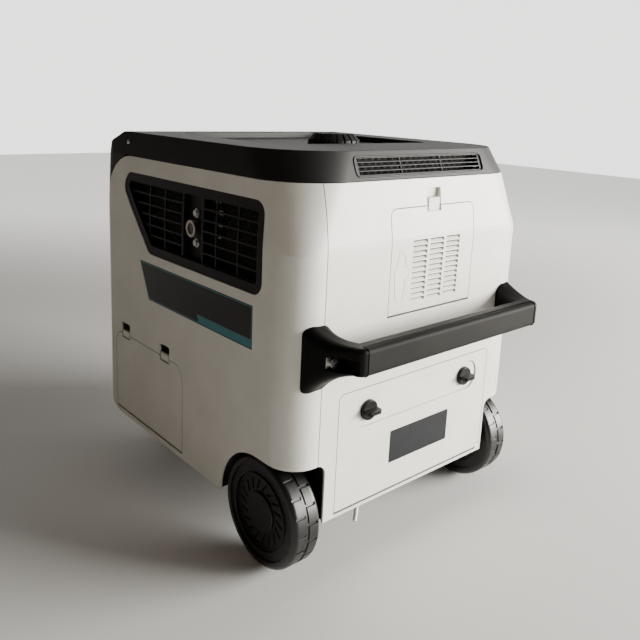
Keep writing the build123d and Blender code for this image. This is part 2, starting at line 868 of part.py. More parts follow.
with BuildPart() as control_space:
    with BuildSketch(Plane.YZ.offset(LEFT - REACH)):
        with Locations((TOP_FRONT + SEAM / 2, PANEL_Z + SEAM / 2)):
            Rectangle(FRONT + REACH - TOP_FRONT, TOP_Z + REACH - PANEL_Z, align=(Align.MIN, Align.MIN))
        add(side_outline(SEAM), mode=Mode.SUBTRACT)
    extrude(amount=BODY_W + 2 * REACH)
panel_holes = [
    panel_window(DISPLAY_AT, DISPLAY_W, DISPLAY_H, FIT),
    panel_window(ROCKER_AT, ROCKER_W, ROCKER_H, ROCKER_GAP / 2),
    panel_hole(START_AT, START_R + FIT),
    panel_hole(DIAL_AT, DIAL_SHAFT_R + RUN),
    *[panel_hole(at, SOCKET_R + FIT) for at in OUTLETS_AT],
    panel_hole(DC_AT, DC_R + FIT),
    panel_hole(BREAKER_AT, BREAKER_R + FIT),
    panel_hole(GROUND_AT, GROUND_R + FIT),
]
with BuildPart() as control_panel:
    add(control_space.part)
    add(SHELL, mode=Mode.INTERSECT)
    for hole in panel_holes:
        add(hole, mode=Mode.SUBTRACT)
save(control_panel.part, "control_panel")

# Top cover with its tray, filler hole and rear vent
vent_xs = (LEFT + VENT_LEFT, LEFT + VENT_LEFT + VENT_W)
top_space = block(
    (LEFT - REACH, RIGHT + REACH),
    (REAR - REACH, TOP_FRONT - SEAM / 2),
    (BAND_Z + SEAM / 2, TOP_Z + REACH),
)
filler_hole = rod(
    (CAP_SHIFT, CAP_Y, TRAY_Z - WALL - REACH),
    (CAP_SHIFT, CAP_Y, TOP_Z + REACH),
    NECK_R + NECK_GAP,
)
vent_opening = block(
    (vent_xs[0] - FIT, vent_xs[1] + FIT),
    REAR_YS,
    (VENT_LOW - FIT, VENT_HIGH + FIT),
    VENT_R + FIT,
    Axis.Y,
)
with BuildPart() as top_cover:
    add(top_space)
    add(SHELL, mode=Mode.INTERSECT)
    add(filler_hole, mode=Mode.SUBTRACT)
    add(vent_opening, mode=Mode.SUBTRACT)
save(top_cover.part, "top_cover")

# Grilles follow the lean of the walls, a little behind the covers' faces
RIM_SKIN = skin(GRILLE_SET, GRILLE_SET + GRILLE_T)
BAR_SKIN = skin(GRILLE_SET + BAR_SINK, GRILLE_SET + GRILLE_T)


def bay_columns(start, bars, end):
    """The openings between the upright bars of one bay."""
    edges = [start - BAR_W / 2, *bars, end + BAR_W / 2]
    return [(low + BAR_W / 2, high - BAR_W / 2) for low, high in zip(edges, edges[1:])]


def grille_cells(bays):
    """The openings of a side grille, kept inside its rim, on the YZ plane."""
    middle_z = (GRILLE_LOW + GRILLE_HIGH) / 2
    columns = [column for bay in bays for column in bay_columns(*bay)]
    with BuildSketch(Plane.YZ) as cells:
        for low, high in columns:
            with Locations((REAR + (low + high) / 2, middle_z)):
                with GridLocations(1, CELL_PITCH_Z, 1, CELL_ROWS):
                    Rectangle(high - low, CELL_H)
        add(grille_outline(-GRILLE_RIM), mode=Mode.INTERSECT)
    return cells.sketch_local


def side_grille(x_start, x_end, bays):
    """A side grille: a rim with sunk bars."""
    outline = side_prism(grille_outline(0.0), x_start, x_end)
    field = side_prism(grille_outline(-GRILLE_RIM), x_start, x_end)
    cells = side_prism(grille_cells(bays), x_start, x_end)
    with BuildPart() as bars:
        add(field)
        add(BAR_SKIN, mode=Mode.INTERSECT)
        add(cells, mode=Mode.SUBTRACT)
    with BuildPart() as grille:
        add(outline)
        add(field, mode=Mode.SUBTRACT)
        add(RIM_SKIN, mode=Mode.INTERSECT)
        add(bars.part)
    return grille.part


# The outlet and its screws sit in a pocket of the left grille
outlet_at = (REAR + OUTLET_Y, OUTLET_Z)
screws_at = [(REAR + OUTLET_Y, OUTLET_Z + rise) for rise in (-SCREW_RISE, SCREW_RISE)]
grille_back = LEFT + CHEEK_DEPTH
bay_floor = LEFT + BAY_DEPTH
bay_ys = (REAR + OUTLET_BAY[0], REAR + OUTLET_BAY[-1])
bay_zs = (GRILLE_LOW + GRILLE_RIM, GRILLE_HIGH - GRILLE_RIM)
bay_outer = block(
    (LEFT + GRILLE_SET + GRILLE_T - FIT, bay_floor + BAY_T),
    (bay_ys[0] - BAY_T, bay_ys[1] + BAY_T),
    (bay_zs[0] - BAY_T, bay_zs[1] + BAY_T),
)
bay_inner = block((LEFT - REACH, bay_floor), bay_ys, bay_zs)
bay_holes = [rod((LEFT, *outlet_at), (grille_back, *outlet_at), OUTLET_R + FIT)]
bay_holes += [rod((LEFT, *at), (grille_back, *at), SCREW_SHANK_R + FIT) for at in screws_at]
left_grille = side_grille(LEFT - REACH, grille_back, (REAR_BAY, FRONT_BAY))
with BuildPart() as exhaust_grille:
    add(left_grille)
    add(bay_outer)
    for cut in (bay_inner, *bay_holes):
        add(cut, mode=Mode.SUBTRACT)
save(exhaust_grille.part, "exhaust_grille")

right_grille = side_grille(RIGHT - CHEEK_DEPTH, RIGHT + REACH, (REAR_BAY, OUTLET_BAY, FRONT_BAY))
with BuildPart() as intake_grille:
    add(right_grille)
save(intake_grille.part, "intake_grille")

# Vent: long slots in front, and uprights set back behind them
vent_block = block(vent_xs, REAR_YS, (VENT_LOW, VENT_HIGH), VENT_R, Axis.Y)
vent_middle = ((vent_xs[0] + vent_xs[1]) / 2, (VENT_LOW + VENT_HIGH) / 2)
vent_face = housing_form(GRILLE_SET + UPRIGHT_SET)
with BuildPart() as vent_cells:
    with BuildSketch(Plane.XZ.offset(-REAR_YS[0])):
        with Locations(vent_middle):
            with GridLocations(VENT_PITCH_X, VENT_PITCH_Z, VENT_COLS, VENT_ROWS):
                Rectangle(VENT_CELL_W, VENT_CELL_H)
    extrude(amount=REAR_YS[0] - REAR_YS[1])
with BuildPart() as vent_slots:
    with BuildSketch(Plane.XZ.offset(-REAR_YS[0])):
        with Locations(vent_middle):
            with GridLocations(1, VENT_PITCH_Z, 1, VENT_ROWS):
                Rectangle(VENT_CELL_W + (VENT_COLS - 1) * VENT_PITCH_X, VENT_CELL_H)
    extrude(amount=REAR_YS[0] - REAR_YS[1])
    add(vent_face, mode=Mode.SUBTRACT)
with BuildPart() as top_vent_grille:
    add(vent_block)
    add(RIM_SKIN, mode=Mode.INTERSECT)
    add(vent_cells.part, mode=Mode.SUBTRACT)
    add(vent_slots.part, mode=Mode.SUBTRACT)
save(top_vent_grille.part, "top_vent_grille")

# Exhaust outlet, its screws and the muffler behind it
outlet_tube = rod((LEFT + OUTLET_SET, *outlet_at), (LEFT + MUFFLER_SET, *outlet_at), OUTLET_R, OUTLET_BORE)
with BuildPart() as exhaust_outlet:
    add(outlet_tube)
save(exhaust_outlet.part, "exhaust_outlet")


def flanged_screw(at):
    """A hexagon screw with a flange, seated on the pocket's floor."""
    flange = rod((bay_floor - SCREW_FLANGE_T, *at), (bay_floor, *at), SCREW_FLANGE_R)
    shank = rod((bay_floor, *at), (bay_floor + SCREW_LEN, *at), SCREW_SHANK_R)
    with BuildPart() as screw:
        with BuildSketch(Plane.YZ.offset(bay_floor - SCREW_HEAD_T)):
            with Locations(at):
                RegularPolygon(SCREW_R, 6)
        extrude(amount=SCREW_HEAD_T)
        add(flange)
        add(shank)
    return screw.part


screw_pieces = [flanged_screw(at) for at in screws_at]
with BuildPart() as exhaust_screws:
    for piece in screw_pieces:
        add(piece)
save(exhaust_screws.part, "exhaust_screws")

muffler_xs = (LEFT + MUFFLER_SET, LEFT + MUFFLER_SET + MUFFLER_W)
pipe_at = (CRANK_AT[0], HEAD_FOOT + HEAD_H / 2)
muffler_box = block(muffler_xs, (REAR + MUFFLER_REAR, REAR + MUFFLER_FRONT), (MUFFLER_LOW, MUFFLER_HIGH))
exhaust_pipe = rod((muffler_xs[1], *pipe_at), (-HEAD_HALF, *pipe_at), PIPE_R)
with BuildPart() as muffler:
    add(muffler_box)
    fillet(muffler.edges().filter_by(Axis.X), MUFFLER_R)
    add(exhaust_pipe)
save(muffler.part, "muffler")


# Hinged covers
def hinge_barrel(start, end):
    return rod(start, end, BARREL_R, PIN_R + RUN)


# Spark plug door
door_block = block(DOOR_XS, REAR_YS, (DOOR_LOW + BARREL_R, DOOR_HIGH), DOOR_R - LIP, Axis.Y, True)
door_barrel = hinge_barrel(*DOOR_LINE)
door_face = REAR + crown(DOOR_HIGH)
door_tab_xs = (DOOR_SHIFT - TAB_W / 2, DOOR_SHIFT + TAB_W / 2)
door_slot = block(LATCH_XS, (REAR - REACH, door_face + WALL), (DOOR_HIGH - SLOT_H, DOOR_HIGH + REACH))
strap_face = REAR + crown(DOOR_HIGH - TAB_BITE) + WALL
door_strap = block(
    door_tab_xs,
    (strap_face - TAB_SET, door_face + WALL + TAB_T - TAB_SET),
    (DOOR_HIGH - TAB_BITE, DOOR_HIGH + DOOR_TAB_H),
)
door_tab = block(door_tab_xs, (door_face + TAB_SET, door_face + WALL), (DOOR_HIGH, DOOR_HIGH + DOOR_TAB_H))
door_bore = rod(*DOOR_LINE, PIN_R + RUN)
louvre_profile = [
    (REAR - WALL, -LOUVRE_H / 2),
    (REAR, -LOUVRE_H / 2),
    (REAR + LOUVRE_DEPTH, LOUVRE_H / 2),
    (REAR - WALL, LOUVRE_H / 2),
]
louvre_start = LOUVRE_SHIFT - (LOUVRE_COLS - 1) / 2 * LOUVRE_PITCH_X - LOUVRE_W / 2
louvre_xs = [louvre_start + column * LOUVRE_PITCH_X for column in range(LOUVRE_COLS)]
with BuildPart() as louvres:
    for x in louvre_xs:
        with BuildSketch(Plane.YZ.offset(x)):
            with Locations((0, LOUVRE_MID_Z)):
                with GridLocations(1, LOUVRE_PITCH_Z, 1, LOUVRE_ROWS):
                    Polygon(*louvre_profile, align=None)
        extrude(amount=LOUVRE_W)
with BuildPart() as spark_plug_door:
    add(door_block)
    add(SHELL, mode=Mode.INTERSECT)
    add(louvres.part, mode=Mode.SUBTRACT)
    add(door_slot, mode=Mode.SUBTRACT)
    for piece in (door_barrel, door_strap, door_tab):
        add(piece)
    add(door_bore, mode=Mode.SUBTRACT)
save(spark_plug_door.part, "spark_plug_door")

# Air filter cover
filter_zs = (FILTER_PIN_Z, FILTER_HIGH)
filter_block = block(FILTER_XS, REAR_YS, filter_zs, FILTER_R - LIP, Axis.Y, True)
filter_barrel = hinge_barrel(*FILTER_LINE)
filter_bore = rod(*FILTER_LINE, PIN_R + RUN)
knuckle_notch = block(
    (FILTER_XS[1] - KNUCKLE, FILTER_XS[1] + LIP), REAR_YS, (FILTER_LOW, FILTER_LOW + 2 * BARREL_R + LIP)
)
filter_band = block(
    (FILTER_X - BAND_W / 2, FILTER_X + BAND_W / 2),
    (REAR - REACH, REAR + BAND_DEPTH),
    (BAND_MID_Z - BAND_H / 2, BAND_MID_Z + BAND_H / 2),
    BAND_H / 2 - FIT,
    Axis.Y,
)
label_xs = (FILTER_X + LABEL_SHIFT - LABEL_W / 2, FILTER_X + LABEL_SHIFT + LABEL_W / 2)
label_zs = (LABEL_Z - LABEL_H / 2, LABEL_Z + LABEL_H / 2)
label_plate = block(label_xs, (REAR, REAR + LABEL_T), label_zs, LABEL_T, Axis.Y)
shank_holes = [
    rod((x, REAR - REACH, BAND_MID_Z), (x, REAR + 2 * WALL, BAND_MID_Z), SHANK_R + RUN) for x in KNOB_XS
]
with BuildPart() as filter_cover:
    add(filter_block)
    add(SHELL, mode=Mode.INTERSECT)
    add(filter_barrel)
    for cut in (filter_band, label_plate, filter_bore, knuckle_notch, *shank_holes):
        add(cut, mode=Mode.SUBTRACT)
save(filter_cover.part, "filter_cover")

with BuildPart() as filter_label:
    add(label_plate)
save(filter_label.part, "filter_label")


def quarter_turn_knob(x):
    """A knob with a wing outside, a shank through the cover and a stud behind it."""
    z = BAND_MID_Z
    seat = REAR + BAND_DEPTH - KNOB_GAP
    back = REAR + WALL + KNOB_GAP
    wing = block(
        (x - KNOB_R + KNOB_T / 2, x + KNOB_R - KNOB_T / 2),
        (seat - KNOB_T - WING_T, seat - KNOB_T / 4),
        (z - WING_H / 2, z + WING_H / 2),
        WING_R,
    )
    shank = rod((x, seat, z), (x, back, z), SHANK_R)
    collar = rod((x, back, z), (x, back + COLLAR_T, z), COLLAR_R)
    stud = rod((x, back + COLLAR_T, z), (x, REAR + STUD_REACH, z), STUD_R)
    with BuildPart() as knob:
        add(rod((x, seat, z), (x, seat - KNOB_T, z), KNOB_R))
        fillet(knob.edges().sort_by(Axis.Y)[0], KNOB_T / 4)
        for piece in (wing, shank, collar, stud):
            add(piece)
    return knob.part


for side_name, x in zip(("left", "right"), KNOB_XS):
    knob_piece = quarter_turn_knob(x)
    save(knob_piece, f"filter_knob_{side_name}")

# Service hatch
hatch_block = block(LEFT_XS, HATCH_YS, (HATCH_LOW + BARREL_R, HATCH_HIGH), HATCH_R - LIP, Axis.X, True)
hatch_barrel = hinge_barrel(*HATCH_LINE)
hatch_bore = rod(*HATCH_LINE, PIN_R + RUN)
hatch_slots = [
    block(
        (LEFT - REACH, LEFT + WALL),
        (REAR + y - NOTCH_W / 2, REAR + y + NOTCH_W / 2),
        (HATCH_HIGH - SLOT_H, HATCH_HIGH + REACH),
    )
    for y in HATCH_TABS
]
tab_spans = [(REAR + y - TAB_W / 2, REAR + y + TAB_W / 2) for y in HATCH_TABS]
strap_xs = (LEFT + WALL - TAB_SET, LEFT + WALL + TAB_T - TAB_SET)
strap_zs = (HATCH_HIGH - TAB_BITE, HATCH_HIGH + TAB_H)
hatch_straps = [block(strap_xs, ys, strap_zs) for ys in tab_spans]
hatch_tab_zs = (HATCH_HIGH - TAB_SINK, HATCH_HIGH + TAB_H)
hatch_tabs = [block((LEFT + TAB_SET, LEFT + WALL), ys, hatch_tab_zs) for ys in tab_spans]
with BuildPart() as service_hatch:
    add(hatch_block)
    add(SHELL, mode=Mode.INTERSECT)
    for cut in hatch_slots:
        add(cut, mode=Mode.SUBTRACT)
    for piece in (hatch_barrel, *hatch_straps, *hatch_tabs):
        add(piece)
    add(hatch_bore, mode=Mode.SUBTRACT)
save(service_hatch.part, "service_hatch")

# Pins of the three hinged covers
pin_pieces = [pin_rod(line, PIN_R, LUG_LEN) for line in (DOOR_LINE, FILTER_LINE, HATCH_LINE)]
with BuildPart() as hinge_pins:
    for piece in pin_pieces:
        add(piece)
save(hinge_pins.part, "hinge_pins")

# Base pan: a plate with a raised channel for the axle
pan_xs = (LEFT + WALL + FIT, RIGHT - WALL - FIT)
pan_plate = block(pan_xs, (REAR + WALL + FIT, FLOOR_FRONT - FIT), (BASE_Z, PAN_TOP))
channel_walls = (AXLE_Y - CHANNEL_HALF - SHEET_T, AXLE_Y + CHANNEL_HALF + SHEET_T)
channel_outer = block(pan_xs, channel_walls, (BASE_Z, CHANNEL_TOP))
channel_inner = block(
    (LEFT - REACH, RIGHT + REACH),
    (AXLE_Y - CHANNEL_HALF, AXLE_Y + CHANNEL_HALF),
    (0.0, CHANNEL_TOP - SHEET_T),
)
pan_wells = wheel_wells(LINER_T + FIT)
with BuildPart() as base_pan:
    add(pan_plate)
    rear_corners = base_pan.edges().filter_by(Axis.Z).group_by(Axis.Y)[0]
    fillet(rear_corners, CORNER_R - WALL - FIT)
    add(channel_outer)
    add(channel_inner, mode=Mode.SUBTRACT)
    add(pan_wells, mode=Mode.SUBTRACT)
save(base_pan.part, "base_pan")

# Wheel housings: liners between the wheels and the inside
liner_outer = wheel_wells(LINER_T)
liner_low = block((LEFT, RIGHT), (REAR, FRONT), (BASE_Z, TOP_Z))
axle_holes = rod((LEFT, AXLE_Y, AXLE_Z), (RIGHT, AXLE_Y, AXLE_Z), AXLE_R + FIT)
with BuildPart() as wheel_housings:
    add(liner_outer)
    add(liner_low, mode=Mode.INTERSECT)
    add(LINING, mode=Mode.INTERSECT)
    add(WELLS, mode=Mode.SUBTRACT)
    add(axle_holes, mode=Mode.SUBTRACT)
save(wheel_housings.part, "wheel_housings")

# Axle, saddles and nuts
stub_end = LEFT + WHEEL_SET + CAP_SET + HUB_CAP_T + NUT_GAP
hub_start = stub_end + NUT_T + NUT_GAP
shoulder = hub_start + HUB_LEN + NUT_GAP
axle_core = rod((shoulder, AXLE_Y, AXLE_Z), (-shoulder, AXLE_Y, AXLE_Z), AXLE_R)
axle_ends = rod((stub_end, AXLE_Y, AXLE_Z), (-stub_end, AXLE_Y, AXLE_Z), STUB_R)
with BuildPart() as axle_bar:
    add(axle_core)
    add(axle_ends)

saddle_block = block(
    (-SADDLE_X - SADDLE_W / 2, -SADDLE_X + SADDLE_W / 2),
    (AXLE_Y - CHANNEL_HALF, AXLE_Y + CHANNEL_HALF),
    (AXLE_Z - AXLE_R - SADDLE_DROP, CHANNEL_TOP - SHEET_T),
)
saddle_bore = rod((LEFT, AXLE_Y, AXLE_Z), (RIGHT, AXLE_Y, AXLE_Z), AXLE_R + RUN)
saddle_pair = both_sides(saddle_block)
with BuildPart() as axle_saddles:
    add(saddle_pair)
    add(saddle_bore, mode=Mode.SUBTRACT)
save(axle_saddles.part, "axle_saddles")

with BuildPart() as left_nut:
    with BuildSketch(Plane.YZ.offset(stub_end)):
        with Locations((AXLE_Y, AXLE_Z)):
            RegularPolygon(NUT_R, 6)
            Circle(STUB_R + FIT / 10, mode=Mode.SUBTRACT)
    extrude(amount=NUT_T)
nut_pair = both_sides(left_nut.part)
with BuildPart() as axle:
    add(axle_bar.part)
    add(nut_pair)
save(axle.part, "axle")


# Wheels
def wheel_plane(x):
    """The plane of a wheel's upper half section: local x along the axle, local y up."""
    return Plane(origin=(x, AXLE_Y, AXLE_Z), x_dir=(1, 0, 0), z_dir=(0, -1, 0))


wheel_axis = Axis((LEFT, AXLE_Y, AXLE_Z), (1, 0, 0))
tyre_face = LEFT + WHEEL_SET
tyre_middle = tyre_face + WHEEL_W / 2
TYRE_EDGE_R = 7.0
TREAD_SET = 5.0         # tread blocks inside the tyre's faces
TREAD_LEN = 15.0
TREAD_GAP = 3.6
TREAD_DEPTH = 2.5
GROOVE_W = 5.0
GROOVE_DEPTH = 1.4
SIDEWALL_DISH = 2.5
SIDEWALL_R = 66.0


def tread_cuts(x, turn):
    """Notches between the tread blocks of one shoulder."""
    place = Plane(origin=(x, AXLE_Y, AXLE_Z), x_dir=(0, 1, 0), z_dir=(1, 0, 0))
    with BuildPart(place) as notches:
        with PolarLocations(WHEEL_R, TREAD_COUNT, start_angle=turn):
            Box(2 * TREAD_DEPTH, TREAD_GAP, TREAD_LEN)
    return notches.part


outer_notches = tread_cuts(tyre_face + TREAD_SET + TREAD_LEN / 2, 0.0)
inner_notches = tread_cuts(tyre_face + WHEEL_W - TREAD_SET - TREAD_LEN / 2, 180.0 / TREAD_COUNT)
middle_groove = rod(
    (tyre_middle - GROOVE_W / 2, AXLE_Y, AXLE_Z),
    (tyre_middle + GROOVE_W / 2, AXLE_Y, AXLE_Z),
    WHEEL_R + REACH,
    WHEEL_R - GROOVE_DEPTH,
)
with BuildPart() as left_tyre:
    with BuildSketch(wheel_plane(tyre_middle)) as section:
        with Locations((0, (RIM_R + WHEEL_R) / 2)):
            Rectangle(WHEEL_W, WHEEL_R - RIM_R)
        fillet(section.vertices().group_by(Axis.Y)[-1], TYRE_EDGE_R)
        for end in (-WHEEL_W / 2, WHEEL_W / 2):
            with Locations((end, (RIM_R + SIDEWALL_R) / 2)):
                Rectangle(2 * SIDEWALL_DISH, SIDEWALL_R - RIM_R - SIDEWALL_DISH, mode=Mode.SUBTRACT)
    revolve(axis=wheel_axis)
    for cut in (outer_notches, inner_notches, middle_groove):
        add(cut, mode=Mode.SUBTRACT)
save(left_tyre.part, "left_tyre")
right_tyre_piece = left_tyre.part.mirror(Plane.YZ)
save(right_tyre_piece, "right_tyre")

# Rim: barrel, web near the outer face, hub on the axle, and swirled slots in the web
RIM_SET = 3.0
SLOT_IN = 30.0
SLOT_OUT = 46.0
SLOT_W = 3.0
SLOT_TILT = 28.0
STEP_R = 48.0
STEP_T = 1.5
web_face = tyre_face + RIM_SET
web_back = web_face + WEB_T
barrel_back = tyre_face + WHEEL_W - RIM_SET
nut_room = rod((web_face, AXLE_Y, AXLE_Z), (hub_start, AXLE_Y, AXLE_Z), HUB_R - RIM_SET)
with BuildPart() as rim_slots:
    with BuildSketch(Plane.YZ.offset(web_face)):
        with Locations((AXLE_Y, AXLE_Z)):
            with PolarLocations((SLOT_IN + SLOT_OUT) / 2, SLOT_COUNT):
                SlotOverall(SLOT_OUT - SLOT_IN, SLOT_W, rotation=SLOT_TILT)
    extrude(amount=WEB_T / 2)
rim_pieces = [
    rod((web_face, AXLE_Y, AXLE_Z), (barrel_back, AXLE_Y, AXLE_Z), RIM_R - FIT / 2, RIM_R - BARREL_T),
    rod((web_face, AXLE_Y, AXLE_Z), (web_back, AXLE_Y, AXLE_Z), RIM_R - BARREL_T),
    rod((web_face, AXLE_Y, AXLE_Z), (hub_start + HUB_LEN, AXLE_Y, AXLE_Z), HUB_R),
]
rim_bore = rod((LEFT, AXLE_Y, AXLE_Z), (0, AXLE_Y, AXLE_Z), STUB_R + RUN)
cap_seat = rod(
    (web_face - REACH, AXLE_Y, AXLE_Z),
    (tyre_face + CAP_SET + HUB_CAP_T, AXLE_Y, AXLE_Z),
    HUB_CAP_R + FIT,
)
rim_step = rod((web_face, AXLE_Y, AXLE_Z), (web_face + STEP_T, AXLE_Y, AXLE_Z), STEP_R)
with BuildPart() as left_rim:
    for piece in rim_pieces:
        add(piece)
    for cut in (rim_bore, nut_room, cap_seat, rim_step, rim_slots.part):
        add(cut, mode=Mode.SUBTRACT)
save(left_rim.part, "left_rim")
right_rim_piece = left_rim.part.mirror(Plane.YZ)
save(right_rim_piece, "right_rim")

cap_face = tyre_face + CAP_SET
with BuildPart() as left_hub_cap:
    add(rod((cap_face, AXLE_Y, AXLE_Z), (cap_face + HUB_CAP_T, AXLE_Y, AXLE_Z), HUB_CAP_R))
    fillet(left_hub_cap.edges().sort_by(Axis.X)[0], HUB_CAP_T / 3)
save(left_hub_cap.part, "left_hub_cap")
right_hub_cap_piece = left_hub_cap.part.mirror(Plane.YZ)
save(right_hub_cap_piece, "right_hub_cap")

# Rubber feet under the front end
with BuildPart() as left_foot:
    with BuildSketch(Plane.XY):
        with Locations((-FOOT_X, FRONT - FOOT_SET)):
            Circle(FOOT_R)
    with BuildSketch(Plane.XY.offset(BASE_Z)):
        with Locations((-FOOT_X, FRONT - FOOT_SET)):
            Circle(FOOT_TOP_R)
    loft()
foot_pair = both_sides(left_foot.part)
with BuildPart() as rubber_feet:
    add(foot_pair)
save(rubber_feet.part, "rubber_feet")

# Carry handle: a bar on two arms that grow out of pads on the rear corners
bar_ys = (REAR - HANDLE_REACH, REAR - HANDLE_REACH + BAR_T)
bar_zs = (BAR_Z - BAR_H / 2, BAR_Z + BAR_H / 2)


def arm_section(y, x_out, x_in, low, high, radius):
    """One section of the left arm, on a plane parallel to the rear panel."""
    with BuildSketch(Plane.XZ.offset(-y)) as section:
        with Locations((LEFT + (x_out + x_in) / 2, (low + high) / 2)):
            RectangleRounded(x_in - x_out, high - low, radius)
    return section.sketch


arm_sections = [
    arm_section(REAR + PAD_R, PAD_OUT, PAD_IN, PAD_LOW, PAD_HIGH, PAD_R),
    arm_section(REAR - NECK_REACH, NECK_OUT, NECK_IN, NECK_LOW, NECK_HIGH, BAR_PLAN_R),
    arm_section((bar_ys[0] + bar_ys[1]) / 2, BAR_END, ARM_IN, bar_zs[0] + FIT, bar_zs[1] - FIT, BAR_EDGE_R),
]
with BuildPart() as left_arm:
    for section in arm_sections:
        add(section)
    loft()
arm_pair = both_sides(left_arm.part)
with BuildPart() as bar:
    add(block((LEFT + BAR_END, RIGHT - BAR_END), bar_ys, bar_zs, BAR_PLAN_R - FIT))
    front_edges = bar.faces().sort_by(Axis.Y)[0].edges().filter_by(Axis.X)
    fillet(front_edges, BAR_EDGE_R)

grip_xs = (LEFT + GRIP_END, RIGHT - GRIP_END)
grip_ys = (bar_ys[0] - REACH, bar_ys[0] + GRIP_T)
grip_zs = (bar_zs[0] - REACH, bar_zs[1] + REACH)
grip_space = block(grip_xs, grip_ys, grip_zs)
grip_cut = block((grip_xs[0] - FIT, grip_xs[1] + FIT), (grip_ys[0], grip_ys[1] + FIT), grip_zs)
bolt_z = BAR_Z - BOLT_DROP
bolt_pocket = block(
    (LEFT, LEFT + POCKET_IN),
    (REAR - POCKET_END, REAR - BOLT_SEAT),
    (bolt_z - POCKET_H / 2, bolt_z + POCKET_H / 2),
    POCKET_H / 9,
    Axis.X,
)
bolt_bore = rod(
    (LEFT + BOLT_X, REAR - BOLT_SEAT - REACH, bolt_z),
    (LEFT + BOLT_X, REAR + PAD_R, bolt_z),
    BOLT_R + FIT,
)
handle_cuts = [both_sides(bolt_pocket), both_sides(bolt_bore)]
outside = housing_form(-FIT)
with BuildPart() as carry_handle:
    add(bar.part)
    add(arm_pair)
    add(grip_cut, mode=Mode.SUBTRACT)
    add(outside, mode=Mode.SUBTRACT)
    for cut in handle_cuts:
        add(cut, mode=Mode.SUBTRACT)
save(carry_handle.part, "carry_handle")

with BuildPart() as handle_grip:
    add(bar.part)
    add(grip_space, mode=Mode.INTERSECT)
save(handle_grip.part, "handle_grip")

bolt_end = REAR + WALL + 2 * FIT + 2 * NUT_PLATE_T
bolt_shank = rod((LEFT + BOLT_X, REAR - BOLT_SEAT, bolt_z), (LEFT + BOLT_X, bolt_end, bolt_z), BOLT_R)
head_y = REAR - BOLT_SEAT - WASHER_T
bolt_head = rod((LEFT + BOLT_X, head_y - BOLT_HEAD_T, bolt_z), (LEFT + BOLT_X, head_y, bolt_z), BOLT_HEAD_R)
washer = block(
    (LEFT + BOLT_X - WASHER_HALF, LEFT + BOLT_X + WASHER_HALF),
    (head_y, REAR - BOLT_SEAT),
    (bolt_z - POCKET_H / 2 + FIT * 7, bolt_z + POCKET_H / 2 - FIT * 7),
)
with BuildPart() as left_bolt:
    for piece in (bolt_shank, bolt_head, washer):
        add(piece)
bolt_pair = both_sides(left_bolt.part)
plate_start = REAR + WALL + 2 * FIT
nut_plate = block(
    (LEFT + BOLT_X - NUT_PLATE_HALF, LEFT + BOLT_X + NUT_PLATE_HALF),
    (plate_start, plate_start + NUT_PLATE_T),
    (bolt_z - NUT_PLATE_HALF, bolt_z + NUT_PLATE_HALF),
)
nut_bore = rod((LEFT + BOLT_X, REAR, bolt_z), (LEFT + BOLT_X, bolt_end, bolt_z), BOLT_R + FIT / 10)
with BuildPart() as left_nut_plate:
    add(nut_plate)
    add(nut_bore, mode=Mode.SUBTRACT)
    add(LINING, mode=Mode.INTERSECT)
nut_plates = both_sides(left_nut_plate.part)
with BuildPart() as handle_bolts:
    add(bolt_pair)
    add(nut_plates)
save(handle_bolts.part, "handle_bolts")

# Fuel tank with its filler neck, and the cap
cap_foot = TRAY_Z + CAP_GAP
cap_top = cap_foot + CAP_H
tank_body = block(
    (LEFT + TANK_LEFT, RIGHT - TANK_RIGHT),
    (REAR + TANK_REAR, REAR + TANK_FRONT),
    (TANK_TOP - TANK_H, TANK_TOP),
)
neck = rod((CAP_SHIFT, CAP_Y, TANK_TOP), (CAP_SHIFT, CAP_Y, TRAY_Z + NECK_RISE), NECK_R)
neck_bore = rod((CAP_SHIFT, CAP_Y, TANK_TOP - WALL), (CAP_SHIFT, CAP_Y, TOP_Z), NECK_BORE)
with BuildPart() as fuel_tank:
    add(tank_body)
    fillet(fuel_tank.edges().filter_by(Axis.Z), TANK_R)
    add(neck)
    add(neck_bore, mode=Mode.SUBTRACT)
save(fuel_tank.part, "fuel_tank")

cap_room = rod((CAP_SHIFT, CAP_Y, TRAY_Z), (CAP_SHIFT, CAP_Y, cap_top - CAP_TOP_T), NECK_R + NECK_GAP)


def cap_form(inset):
    """The cap's outer form, moved in by inset."""
    radius = CAP_R - inset
    with BuildPart() as form:
        with BuildSketch(Plane.XZ.offset(-CAP_Y)):
            with BuildLine():
                Polyline(
                    (CAP_SHIFT, cap_foot),
                    (CAP_SHIFT + radius, cap_foot),
                    (CAP_SHIFT + radius, cap_foot + CAP_SKIRT),
                    (CAP_SHIFT + radius - CAP_SLOPE, cap_top - CAP_DOME - inset),
                    (CAP_SHIFT, cap_top - inset),
                    close=True,
                )
            make_face()
        revolve(axis=Axis((CAP_SHIFT, CAP_Y, 0), (0, 0, 1)))
    return form.part


cap_body = cap_form(0.0)
cap_core = cap_form(CAP_GROOVE)
with BuildPart() as cap_grooves:
    with Locations((CAP_SHIFT, CAP_Y, cap_top)):
        with PolarLocations(CAP_R - CAP_SLOPE / 2, CAP_RIBS):
            Box(2 * CAP_SLOPE, CAP_GROOVE_W, 2 * (CAP_H - CAP_GROOVE))
    add(cap_core, mode=Mode.SUBTRACT)
with BuildPart() as fuel_cap:
    add(cap_body)
    add(cap_grooves.part, mode=Mode.SUBTRACT)
    add(cap_room, mode=Mode.SUBTRACT)
save(fuel_cap.part, "fuel_cap")

